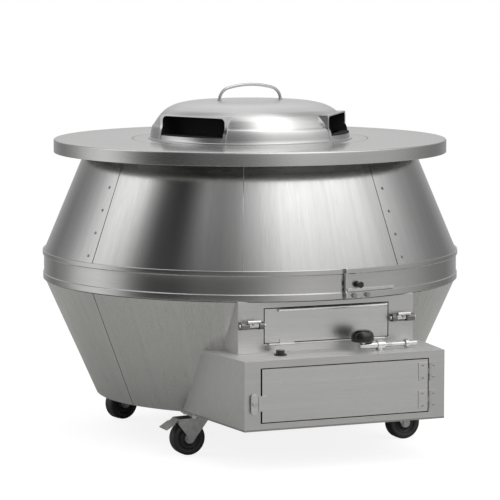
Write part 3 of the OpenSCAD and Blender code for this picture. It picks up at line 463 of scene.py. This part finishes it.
def tube(name, points, radius, mat, body, replaces=(), resolution=8, cyclic=False):
    cu = bpy.data.curves.new(name, "CURVE")
    cu.dimensions = "3D"
    sp = cu.splines.new("POLY")
    sp.points.add(len(points) - 1)
    for q, p in zip(sp.points, points):
        q.co = (*p, 1.0)
    sp.use_cyclic_u = cyclic
    cu.bevel_depth = radius
    cu.bevel_resolution = resolution
    cu.use_fill_caps = True
    cu.resolution_u = 4
    for s in cu.splines:
        s.use_smooth = True
    cu.materials.append(M[mat])
    obj = bpy.data.objects.new(name, cu)
    bpy.context.scene.collection.objects.link(obj)
    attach(obj, body)
    if replaces:
        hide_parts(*replaces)
    return obj


def turned(name, profile, mat, body, at, axis, bevel=0.0, steps=48, sides=None, replaces=()):
    """A turned piece: (r, h) outline round an axis through a point, or a prism when sides is given."""
    n_steps = sides or steps
    axis = Vector(axis).normalized()
    rot = Vector((0, 0, 1)).rotation_difference(axis).to_matrix()
    bm = bmesh.new()
    rings = []
    for i in range(n_steps):
        a = 2 * math.pi * i / n_steps
        c, s = math.cos(a), math.sin(a)
        rings.append([bm.verts.new(Vector(at) + rot @ Vector((r * c, r * s, h))) for r, h in profile])
    n = len(profile)
    for i in range(n_steps):
        a, b = rings[i], rings[(i + 1) % n_steps]
        for j in range(n - 1):
            f = [a[j], a[j + 1], b[j + 1], b[j]]
            bm.faces.new(f)
    bmesh.ops.remove_doubles(bm, verts=bm.verts, dist=1e-7)
    bmesh.ops.holes_fill(bm, edges=bm.edges, sides=0)
    bmesh.ops.recalc_face_normals(bm, faces=bm.faces)
    me = bpy.data.meshes.new(name)
    bm.to_mesh(me)
    bm.free()
    obj = add_object(name, me, mat, body, bevel)
    if replaces:
        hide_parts(*replaces)
    return obj


# ---------------------------------------------------------------- casing

TOP_Z, PLATE = 0.784, 0.003
NECK_R, BELLY_R, FOOT_R = 0.429, 0.551, 0.415
BAND_TOP, BAND_LOW, BASE_Z = 0.490, 0.413, 0.106
LAP_Z = (BAND_TOP + BAND_LOW) / 2
SHEET = 0.002
SEAM, GAP = -69.5, 0.0022
HALF_GAP = math.degrees(GAP / BELLY_R / 2)
UNDER = TOP_Z - PLATE

for i in range(4):
    a0 = SEAM + 90 * i + HALF_GAP
    a1 = SEAM + 90 * (i + 1) - HALF_GAP
    revolve(
        f"upper_panel_{i + 1}_skin",
        [
            (NECK_R - 0.025, UNDER), (NECK_R, UNDER), (BELLY_R, BAND_TOP), (BELLY_R, LAP_Z),
            (BELLY_R - SHEET, LAP_Z), (BELLY_R - SHEET, BAND_TOP), (NECK_R - SHEET, UNDER - SHEET),
            (NECK_R - 0.025, UNDER - SHEET),
        ],
        "panel", "casing", a0, a1, 90, 0.0004, replaces=[f"upper_panel_{i + 1}"],
    )

# Dark strips lie behind the seams, where the panels' folded edges meet; they are painted shade that darkens the seam
# gaps
STRIP_HALF_DEG = 0.35
BEHIND, STRIP_BACK = 0.0012, 0.0032
HIDDEN_SEAM = 1  # the housings stand over this lower seam
upper_strip = [
    (NECK_R - 0.003, UNDER - 0.004), (NECK_R - 0.0016, UNDER - 0.003),
    (BELLY_R - BEHIND, BAND_TOP), (BELLY_R - STRIP_BACK, BAND_TOP),
]
lower_strip = [
    (FOOT_R - STRIP_BACK, BASE_Z + 0.006), (FOOT_R - BEHIND, BASE_Z + 0.006),
    (BELLY_R - BEHIND, BAND_LOW), (BELLY_R - STRIP_BACK, BAND_LOW),
]
for i in range(4):
    a0, a1 = SEAM + 90 * i - STRIP_HALF_DEG, SEAM + 90 * i + STRIP_HALF_DEG
    revolve(f"upper_seam_shade_{i + 1}", upper_strip, "seam", "casing", a0, a1, 2)
    if i != HIDDEN_SEAM:
        revolve(f"lower_seam_shade_{i + 1}", lower_strip, "painted_shade", "casing", a0, a1, 2)

WELD_DEG, WELD_HALF_DEG, WELD_RISE = -24.5, 0.07, 0.0004
weld_top, weld_foot = UNDER - 0.001, BAND_TOP + 0.0005
revolve(
    "weld_line",
    [(NECK_R, weld_top), (NECK_R + WELD_RISE, weld_top), (BELLY_R + WELD_RISE, weld_foot), (BELLY_R, weld_foot)],
    "weld", "casing", WELD_DEG - WELD_HALF_DEG, WELD_DEG + WELD_HALF_DEG, 2,
)

band = rounded(
    mm([
        (551, 413), (554.5, 413), (555.5, 414), (555.5, 429), (553, 431), (553, 476), (556.5, 478), (556.5, 489),
        (555.5, 490), (551, 490),
    ]),
    [0, 0.0006, 0.0006, 0.0006, 0.0008, 0.0008, 0.0006, 0.0006, 0.0006, 0], 3,
)
LAP_DEG = 2.7
LAP_SPAN = (LAP_DEG - 0.4, LAP_DEG + 0.4)
revolve(
    "belly_band_rolled", band, "band", "casing", LAP_DEG + HALF_GAP, LAP_DEG + 360 - HALF_GAP, 360,
    replaces=["belly_band"],
)
# Black strips behind the band's end gap and under its lower edge are painted shade for these gaps
revolve("band_gap_shade", mm([(551, 414), (551.8, 414), (551.8, 489), (551, 489)]), "painted_shade", "casing", *LAP_SPAN, 4)
revolve("band_shadow_gap", mm([(550.2, 411), (551.4, 411.4), (551.4, 413), (550.2, 413)]), "painted_shade", "casing", steps=288)

top_profile = rounded(
    mm([
        (316.2, 784), (525, 784), (525, 749), (511, 749), (511, 751), (522, 751), (522, 779), (519.5, 781),
        (326, 781), (326, 778), (296, 778), (296, 781), (316.2, 781),
    ]),
    [0.0008, 0.005, 0.0012, 0, 0, 0.001, 0.002, 0.002, 0, 0, 0, 0, 0], 5,
)
revolve("worktop_plate", top_profile, "top", "casing", steps=360, replaces=["worktop"])
revolve(
    "top_ring_plate",
    rounded(mm([(201, 784), (314, 784), (314, 781), (201, 781)]), [0.0008, 0.0009, 0, 0], 3),
    "top", "casing", steps=288, replaces=["top_ring"],
)
revolve(
    "mouth_collar_rolled",
    rounded(
        mm([(196, 778.5), (200.5, 778.5), (200.5, 784), (216, 784), (216, 786), (196, 786)]),
        [0, 0, 0, 0.0008, 0.0008, 0.0015], 3,
    ),
    "bright", "casing", steps=180, replaces=["mouth_collar"],
)

# ---------------------------------------------------------------- lid

LID_R, LID_H, LID_T = 0.2675, 0.102, 0.002
LID_SHAPE = [
    (1, 0), (0.983, 0.284), (0.957, 0.392), (0.931, 0.496), (0.903, 0.598),
    (0.864, 0.706), (0.807, 0.809), (0.703, 0.912), (0.501, 0.98), (0, 1),
]
HOOD_DEGS = (-61, 54, 176.5)
HOOD_HALF, HOOD_FRONT, HOOD_BACK, HOOD_T = 0.108, 0.236, 0.195, 0.0025
HOOD_LOW, HOOD_HIGH = TOP_Z + 0.018, TOP_Z + 0.067


def spline(pts, steps):
    """A smooth curve through the points (the first and last only steer it)."""
    out = []
    for a, b, c, d in zip(pts, pts[1:], pts[2:], pts[3:]):
        for k in range(steps):
            t = k / steps
            out.append(tuple(
                (2 * q + (r - p) * t + (2 * p - 5 * q + 4 * r - s) * t * t + (3 * q - p - 3 * r + s) * t ** 3) / 2
                for p, q, r, s in zip(a, b, c, d)
            ))
    out.append(tuple(pts[-2]))
    return out


LID_SHARES = spline([(1, -0.2)] + LID_SHAPE + [(-0.501, 0.98)], 8)
outer = [(LID_R * a, TOP_Z + LID_H * b) for a, b in LID_SHARES]
inner = [((LID_R - LID_T) * a, TOP_Z + (LID_H - LID_T) * b) for a, b in LID_SHARES]
outer[-1], inner[-1] = (0.0, outer[-1][1]), (0.0, inner[-1][1])
foot = [
    (LID_R + 0.0006, TOP_Z + 0.003), (LID_R + 0.005, TOP_Z + 0.003),
    (LID_R + 0.006, TOP_Z + 0.002), (LID_R + 0.006, TOP_Z),
]
shell = [p for p in outer if p[1] > TOP_Z + 0.004]
dome = revolve("lid_dome_spun", inner + shell[::-1] + foot, "lid", "lid", steps=288)


def cut_window(bm, deg):
    """Opens the dome's wall where a vent's box stands in it, and closes the cut's edges between both skins."""
    a = math.radians(deg)
    side, out_dir = Vector((math.cos(a), math.sin(a), 0)), Vector((math.sin(a), -math.cos(a), 0))
    axis, up = Vector((0, AXIS_Y, 0)), Vector((0, 0, 1))
    low, high, near = HOOD_LOW - HOOD_T, HOOD_HIGH + HOOD_T, 0.012

    def within(p, grow):
        q = p - axis
        return abs(q.dot(side)) < HOOD_HALF + grow and q.dot(out_dir) > 0 and low - grow < p.z < high + grow

    planes = [(axis + side * HOOD_HALF, side), (axis - side * HOOD_HALF, side), (up * low, up), (up * high, up)]
    for co, no in planes:
        faces = [f for f in bm.faces if within(f.calc_center_median(), near)]
        geom = faces + list({e for f in faces for e in f.edges}) + list({v for f in faces for v in f.verts})
        bmesh.ops.bisect_plane(bm, geom=geom, dist=1e-6, plane_co=co, plane_no=no)
    bmesh.ops.delete(bm, geom=[f for f in bm.faces if within(f.calc_center_median(), 0)], context="FACES")
    bmesh.ops.bridge_loops(bm, edges=[e for e in bm.edges if e.is_boundary])


bm = bmesh.new()
bm.from_mesh(dome.data)
for d in HOOD_DEGS:
    cut_window(bm, d)
for f in bm.faces:
    f.smooth = True
for e in bm.edges:
    e.smooth = len(e.link_faces) == 2 and e.calc_face_angle(0) < math.radians(30)
bm.to_mesh(dome.data)
bm.free()
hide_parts("lid_dome")


def dome_r(z):
    """The dome's outer radius at a height."""
    for (r0, z0), (r1, z1) in zip(outer, outer[1:]):
        if z0 <= z <= z1:
            return r0 + (r1 - r0) * (z - z0) / max(z1 - z0, 1e-9)
    return LID_R


def hood_trim(name, deg):
    """The rolled edge round a vent: it follows the hood's face, and lower down the dome's wall."""
    wide, rad, t = 0.0085, 0.013, 0.0016
    x0, top = HOOD_HALF - HOOD_T - 0.0005, HOOD_HIGH - 0.001
    straight = (0.7875, 0.794, 0.800, 0.806, 0.812, 0.820, 0.828)
    quarter = [math.radians(9 * k) for k in range(11)]
    path = [(x0, z) for z in straight]
    path += [
        (x0 - rad * (1 - math.cos(a)), top - rad * (1 - math.sin(a)))
        for a in quarter
    ]
    outline = [(x0 + wide, z) for z in straight]
    big = 0.008
    xo, zo = x0 + wide, HOOD_HIGH + HOOD_T
    outline += [
        (xo - big * (1 - math.cos(a)), zo - big * (1 - math.sin(a)))
        for a in quarter
    ]
    path += [(-x, z) for x, z in path[::-1]]
    outline += [(-x, z) for x, z in outline[::-1]]
    place = Matrix.Translation((0, AXIS_Y, 0)) @ Matrix.Rotation(math.radians(deg), 4, "Z")

    def reach(x, z):
        r = dome_r(z)
        return max(HOOD_FRONT, math.sqrt(max(r * r - x * x, 0.0)))

    bm = bmesh.new()
    rows = []
    for (xi, zi), (xq, zq) in zip(path, outline):
        row = []
        for x, z, lift_by in ((xi, zi, 0.0), (xq, zq, 0.0), (xq, zq, t), (xi, zi, t)):
            row.append(bm.verts.new(place @ Vector((x, -reach(x, z) - lift_by, z))))
        rows.append(row)
    for a, b in zip(rows, rows[1:]):
        for j in range(4):
            k = (j + 1) % 4
            bm.faces.new([a[j], a[k], b[k], b[j]])
    bm.faces.new(rows[0][::-1])
    bm.faces.new(rows[-1])
    bmesh.ops.recalc_face_normals(bm, faces=bm.faces)
    me = bpy.data.meshes.new(name)
    bm.to_mesh(me)
    bm.free()
    return add_object(name, me, "trim", "lid", 0.0004)


def in_hood(p, deg):
    a = math.radians(deg)
    x, y = p.x, p.y - AXIS_Y
    along = x * math.cos(a) + y * math.sin(a)
    out = x * math.sin(a) - y * math.cos(a)
    slack = 2e-4
    return (
        abs(along) < HOOD_HALF - HOOD_T + slack
        and HOOD_BACK + HOOD_T - slack < out
        and HOOD_LOW - HOOD_T < p.z < HOOD_HIGH + slack
    )


hoods = dressed("lid_vent_hoods", 0.0004)
# Faces inside the vent boxes get near-black: painted shade in the vents
hoods.data.materials.append(M["painted_shade"])
for p in hoods.data.polygons:
    c = p.center
    if any(in_hood(c, d) for d in HOOD_DEGS):
        p.material_index = 1
for i, d in enumerate(HOOD_DEGS):
    hood_trim(f"vent_trim_{i + 1}", d)

HANDLE_HALF, CORNER_R, CORNER_DEG = 0.088, 0.034, 75.0
HANDLE_FOOT = TOP_Z + LID_H - 0.0005
cos_c, sin_c = math.cos(math.radians(CORNER_DEG)), math.sin(math.radians(CORNER_DEG))
ARC_R = (HANDLE_HALF - CORNER_R * (1 - cos_c)) / cos_c
arc_z = HANDLE_FOOT + CORNER_R * sin_c - ARC_R * sin_c
bend = [(HANDLE_HALF, HANDLE_FOOT - 0.013)]
bend += [
    (HANDLE_HALF - CORNER_R + CORNER_R * math.cos(a), HANDLE_FOOT + CORNER_R * math.sin(a))
    for a in [math.radians(CORNER_DEG * k / 12) for k in range(12)]
]
bend += [
    (ARC_R * math.cos(a), arc_z + ARC_R * math.sin(a))
    for a in [math.radians(CORNER_DEG + (90 - CORNER_DEG) * k / 8) for k in range(9)]
]
bend += [(-x, z) for x, z in bend[-2::-1]]
tube("lid_handle_wire", [(x, AXIS_Y, z) for x, z in bend], 0.004, "handle", "lid", replaces=["lid_handle"])
for s in (-1, 1):
    turned(
        f"handle_washer_{s}", rounded(mm([(4, 0), (6, 0), (6, 2), (4, 2)]), [0, 0, 0.0006, 0], 3, False),
        "handle", "lid", (s * HANDLE_HALF, AXIS_Y, HANDLE_FOOT), (0, 0, 1),
    )

# ---------------------------------------------------------------- housings, doors and fittings

BURNER_FRONT, TRAY_FRONT, LEDGE = 0.5065, 0.626, 0.281
ROLL_H, ROLL_PROUD = 0.0085, 0.0005
RETURN_AREA = 5e-4

# The door's and the flap's left returns get near-black: painted shade for the dark gap beside them
for node in ("tray_door", "burner_flap"):
    sheet = dressed(node, 0.0009)
    sheet.data.materials.append(M["painted_shade"])
    for p in sheet.data.polygons:
        if p.normal.x < -0.9 and p.area > RETURN_AREA:
            p.material_index = 1
# The flap's rolled top edge gets a brighter, polished steel than the flap: a painted highlight
sheet.data.materials.append(M["roll_highlight"])
roll_low, roll_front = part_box("burner_flap")[1].z - ROLL_H, AXIS_Y - BURNER_FRONT - ROLL_PROUD
for p in sheet.data.polygons:
    if p.center.z > roll_low and p.center.y < roll_front:
        p.material_index = 2
# The housings' tops get a coarser-brushed steel that is also lighter than their fronts, painted light on the tops;
# their inward faces get near-black, painted shade for their insides
for node in ("tray_housing", "burner_housing"):
    sheet = dressed(node, 0.0009)
    low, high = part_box(node)
    middle = (low + high) / 2
    sheet.data.materials.append(M["ledge"])
    sheet.data.materials.append(M["painted_shade"])
    for p in sheet.data.polygons:
        if p.normal.z > 0.9 and p.center.z > high.z - 0.0005:
            p.material_index = 1
        elif p.normal.dot(p.center - middle) < 0:
            p.material_index = 2
for node in ("door_hinges", "flap_hinge", "door_latch", "band_clamp_strap", "bolt_guides"):
    dressed(node, 0.0004)
for node in ("flap_bolt_left", "flap_bolt_right"):
    dressed(node, 0.0006)
for tail in ("front_left", "front_right", "rear_left", "rear_right"):
    dressed("fork_" + tail, 0.0005)
for tail in ("front_left", "front_right"):
    dressed("pedal_" + tail, 0.0006)

VALVE_Y = AXIS_Y - (BURNER_FRONT + TRAY_FRONT) / 2
VALVE_Z = LEDGE + 0.013
KNOB_X, KNOB_Z, KNOB_R = 0.072, VALVE_Z + 0.011, 0.029

knob = [(0, 0), (0.026, 0), (0.0285, 0.0012), (KNOB_R, 0.004)]
knob += [
    (KNOB_R * math.cos(a) ** 0.6, 0.0125 + 0.0185 * math.sin(a))
    for a in [math.radians(90 * k / 14) for k in range(14)]
]
knob += [(0, 0.031)]
revolve(
    "gas_knob_moulded", [(r, KNOB_Z + h) for r, h in knob], "black", "knob", steps=96, centre=(KNOB_X, VALVE_Y),
    replaces=["gas_knob"],
)


def screw(name, at, axis, body, mat="screw", r=0.003, h=0.0012):
    """A pan-head screw, its head on the face at the point."""
    profile = [(0, 0)] + [(r, 0), (r, h * 0.4), (r * 0.8, h * 0.85), (r * 0.35, h), (0, h)]
    return turned(name, profile, mat, body, at, axis, steps=20)


LEAF_T, LEAF_GAP = 0.0015, 0.0003
DOOR_SCREW_X, FRAME_SCREW_X = 0.2265 - 0.015, 0.2305 + 0.012
HINGE_ZS, SCREW_RISE, FRAME_SHARE = (0.158, 0.229), 0.016, 0.9
forward = (0, -1, 0)
leaf_y = AXIS_Y - TRAY_FRONT - LEAF_T
for k, z in enumerate(HINGE_ZS):
    for j, dz in enumerate((-SCREW_RISE, SCREW_RISE)):
        screw(f"door_leaf_screw_{k}_{j}", (DOOR_SCREW_X, leaf_y - LEAF_GAP, z + dz), forward, "door")
        screw(f"frame_leaf_screw_{k}_{j}", (FRAME_SCREW_X, leaf_y, z + dz * FRAME_SHARE), forward, "casing")

# Hex nuts and threads of the valve
X_END = KNOB_X + 0.062
INLET_LEN = 0.0555
BARB_X, BARB_PITCH = KNOB_X + 0.118 + 0.012, 0.0046
THREAD_PITCH = 0.0034


def hexagon(name, x, length, r, mat="chrome", body="casing"):
    turned(name, [(0, 0), (r * 0.86, 0), (r, length * 0.12), (r, length * 0.88), (r * 0.86, length), (0, length)],
           mat, body, (x, VALVE_Y, VALVE_Z), (1, 0, 0), sides=6)


for k in range(5):
    turned(
        f"valve_thread_{k}", [(0.0058, 0), (0.0069, 0.0011), (0.0058, 0.0022)], "chrome", "casing",
        (X_END + 0.003 + THREAD_PITCH * k, VALVE_Y, VALVE_Z), (1, 0, 0), steps=32,
    )
hexagon("inlet_nut", X_END + INLET_LEN, 0.009, 0.0112)
hexagon("valve_nut", X_END - 0.0222, 0.0184, 0.0117)
for k in range(4):
    turned(
        f"inlet_barb_{k}", [(0.0066, 0), (0.0074, 0.0036), (0.0066, 0.0042)], "chrome", "casing",
        (BARB_X + BARB_PITCH * k, VALVE_Y, VALVE_Z), (1, 0, 0), steps=32,
    )

# ---------------------------------------------------------------- wheels

WHEEL_R, WHEEL_W, TRAIL = 0.044, 0.038, 0.035
CASTERS = {
    "front_left": (-0.270, -0.315, 180), "front_right": (0.270, -0.315, 0),
    "rear_left": (-0.245, 0.262, 195), "rear_right": (0.245, 0.262, 60),
}
HALF = WHEEL_W / 2
tyre = [
    (0.0052, -HALF), (0.0145, -HALF), (0.0155, -HALF * 0.62),
    (0.0265, -HALF * 0.62), (0.0285, -HALF * 0.92), (0.0300, -HALF),
]
tyre += [
    (WHEEL_R - 0.008 + 0.008 * math.sin(a), -HALF + 0.008 - 0.008 * math.cos(a))
    for a in [math.radians(90 * k / 6) for k in range(1, 6)]
]
tyre += [(WHEEL_R - 0.0006, -HALF + 0.011), (WHEEL_R, 0.0)]
tyre += [(r, -h) for r, h in tyre[-2::-1]]
for tail, (x, y, turn_deg) in CASTERS.items():
    a = math.radians(turn_deg)
    hub = (x + TRAIL * math.cos(a), AXIS_Y + y + TRAIL * math.sin(a), WHEEL_R)
    side = (math.sin(a), -math.cos(a), 0)
    turned(
        f"tyre_{tail}", tyre + [tyre[0]], "rubber", "roller_" + tail, hub, side, steps=72,
        replaces=["wheel_" + tail],
    )
    for s in (-1, 1):
        turned(
            f"hub_cap_{tail}_{s}",
            [(0.0056, 0.0), (0.0128, 0.0), (0.0132, 0.0004), (0.0128, 0.0008), (0.0056, 0.0009)],
            "hub", "roller_" + tail, Vector(hub) + Vector(side) * s * (HALF - 0.0002), Vector(side) * s, steps=40,
        )

# ---------------------------------------------------------------- floor, lights, camera

FLOOR_R = 1.9
bm = bmesh.new()
bmesh.ops.create_circle(bm, cap_ends=True, radius=FLOOR_R, segments=128)
me = bpy.data.meshes.new("studio_floor")
bm.to_mesh(me)
bm.free()
floor = bpy.data.objects.new("studio_floor", me)
bpy.context.scene.collection.objects.link(floor)
mat = bpy.data.materials.new("studio_floor_paint")
mat.use_nodes = True
nt = mat.node_tree
nt.nodes.clear()
out = nt.nodes.new("ShaderNodeOutputMaterial")
path = nt.nodes.new("ShaderNodeLightPath")
paint = nt.nodes.new("ShaderNodeBsdfDiffuse")
paint.inputs["Color"].default_value = (0.56, 0.56, 0.545, 1)
seen = nt.nodes.new("ShaderNodeBsdfDiffuse")
seen.inputs["Color"].default_value = (0.3, 0.3, 0.3, 1)
glow = nt.nodes.new("ShaderNodeEmission")
glow.inputs["Strength"].default_value = 0.86
both = nt.nodes.new("ShaderNodeAddShader")
nt.links.new(seen.outputs[0], both.inputs[0])
nt.links.new(glow.outputs[0], both.inputs[1])
mix = nt.nodes.new("ShaderNodeMixShader")
nt.links.new(path.outputs["Is Camera Ray"], mix.inputs["Fac"])
nt.links.new(paint.outputs[0], mix.inputs[1])
nt.links.new(both.outputs[0], mix.inputs[2])
nt.links.new(mix.outputs[0], out.inputs["Surface"])
floor.data.materials.append(mat)

VIEW_AZ = -22.5
WALL_MAX = 1.5
world = bpy.data.worlds.new("studio")
bpy.context.scene.world = world
world.use_nodes = True
nt = world.node_tree
nt.nodes.clear()
tc = nt.nodes.new("ShaderNodeTexCoord")
sep = nt.nodes.new("ShaderNodeSeparateXYZ")
nt.links.new(tc.outputs["Generated"], sep.inputs[0])
turn = math.radians(VIEW_AZ)
x, y = sep.outputs[0], sep.outputs[1]
# Directions are turned so that 0 is the main front, and the wall light runs from -180 to 180 degrees round it
x_cos, y_sin = math_node(nt, "MULTIPLY", x, math.cos(turn)), math_node(nt, "MULTIPLY", y, math.sin(turn))
x_sin, y_cos = math_node(nt, "MULTIPLY", x, math.sin(turn)), math_node(nt, "MULTIPLY", y, math.cos(turn))
fx = math_node(nt, "ADD", x_cos, y_sin)
fy = math_node(nt, "SUBTRACT", x_sin, y_cos)
around = math_node(nt, "ARCTAN2", fx, fy)
pos = map_range(nt, around, -math.pi, math.pi, 0.0, 1.0)


def walls_of(stops):
    """A ring of wall light: brightness by direction, in shares of WALL_MAX."""
    return ramp(nt, pos, [((d + 180) / 360, v / WALL_MAX) for d, v in stops])


# High on the walls, which the upper cone mirrors
high = walls_of([
    (-180, 0.95), (-160, 0.85), (-151, 0.74), (-133, 0.3), (-114, 0.6), (-103, 1.25), (-86, 1.5), (-75, 1.25),
    (-68, 0.5), (-61, 0.1), (-54, 0.03), (-42, 0.03), (-35, 0.19), (-29, 0.36), (-20, 0.26), (-11, 0.32), (-5, 0.46),
    (0, 0.66), (7, 0.88), (12, 1.1), (18, 1.38), (27, 1.5), (43, 1.42), (62, 1.5), (77, 1.45), (86, 0.95), (95, 1.1),
    (111, 0.66), (136, 0.38), (156, 0.75), (180, 0.95),
])
# Low on the walls, which the band, the rim and the boxes mirror
low = walls_of([
    (-180, 0.6), (-158, 0.36), (-140, 0.2), (-122, 0.34), (-108, 0.72), (-92, 0.9), (-78, 0.62), (-68, 0.2),
    (-58, 0.06), (-40, 0.06), (-28, 0.13), (-10, 0.14), (4, 0.26), (18, 0.5), (30, 0.62), (45, 0.56), (62, 0.5),
    (80, 0.52), (95, 0.46),
    (120, 0.26), (140, 0.22), (160, 0.4), (180, 0.6),
])
height = map_range(nt, sep.outputs[2], 0.08, 0.5, 0.0, 1.0)
lit = nt.nodes.new("ShaderNodeMix")
lit.data_type = "RGBA"
nt.links.new(height, lit.inputs["Factor"])
nt.links.new(low, lit.inputs["A"])
nt.links.new(high, lit.inputs["B"])
# Overhead the studio is an even grey
zenith = nt.nodes.new("ShaderNodeMix")
zenith.data_type = "RGBA"
nt.links.new(map_range(nt, sep.outputs[2], 0.93, 0.985, 0.0, 1.0), zenith.inputs["Factor"])
nt.links.new(lit.outputs["Result"], zenith.inputs["A"])
zenith.inputs["B"].default_value = (0.62, 0.62, 0.62, 1)
wall = nt.nodes.new("ShaderNodeBackground")
nt.links.new(zenith.outputs["Result"], wall.inputs["Color"])
wall.inputs["Strength"].default_value = WALL_MAX
white = nt.nodes.new("ShaderNodeBackground")
white.inputs["Color"].default_value = (1, 1, 1, 1)
path = nt.nodes.new("ShaderNodeLightPath")
mix = nt.nodes.new("ShaderNodeMixShader")
nt.links.new(path.outputs["Is Camera Ray"], mix.inputs["Fac"])
nt.links.new(wall.outputs[0], mix.inputs[1])
nt.links.new(white.outputs[0], mix.inputs[2])
out = nt.nodes.new("ShaderNodeOutputWorld")
nt.links.new(mix.outputs[0], out.inputs["Surface"])


def softbox(name, at, size, power):
    li = bpy.data.lights.new(name, "AREA")
    li.shape = "RECTANGLE"
    li.size, li.size_y = size
    li.energy = power
    ob = bpy.data.objects.new(name, li)
    ob.location = at
    ob.rotation_euler = (Vector((0, 0, 0.5)) - Vector(at)).to_track_quat("-Z", "Y").to_euler()
    bpy.context.scene.collection.objects.link(ob)
    return ob


softbox("overhead_softbox", (0.37, -0.93, 3.6), (1.8, 1.8), 9)

cam = bpy.data.cameras.new("camera")
camera = bpy.data.objects.new("camera", cam)
bpy.context.scene.collection.objects.link(camera)
cam.sensor_width = 36
cam.lens = 197.2
cam.clip_end = 100
camera.location = (-2.8033, AXIS_Y - 6.768, 1.3078)
camera.rotation_euler = (math.radians(83.56), 0, math.radians(VIEW_AZ))
bpy.context.scene.camera = camera

scene = bpy.context.scene
scene.view_settings.view_transform = "Standard"
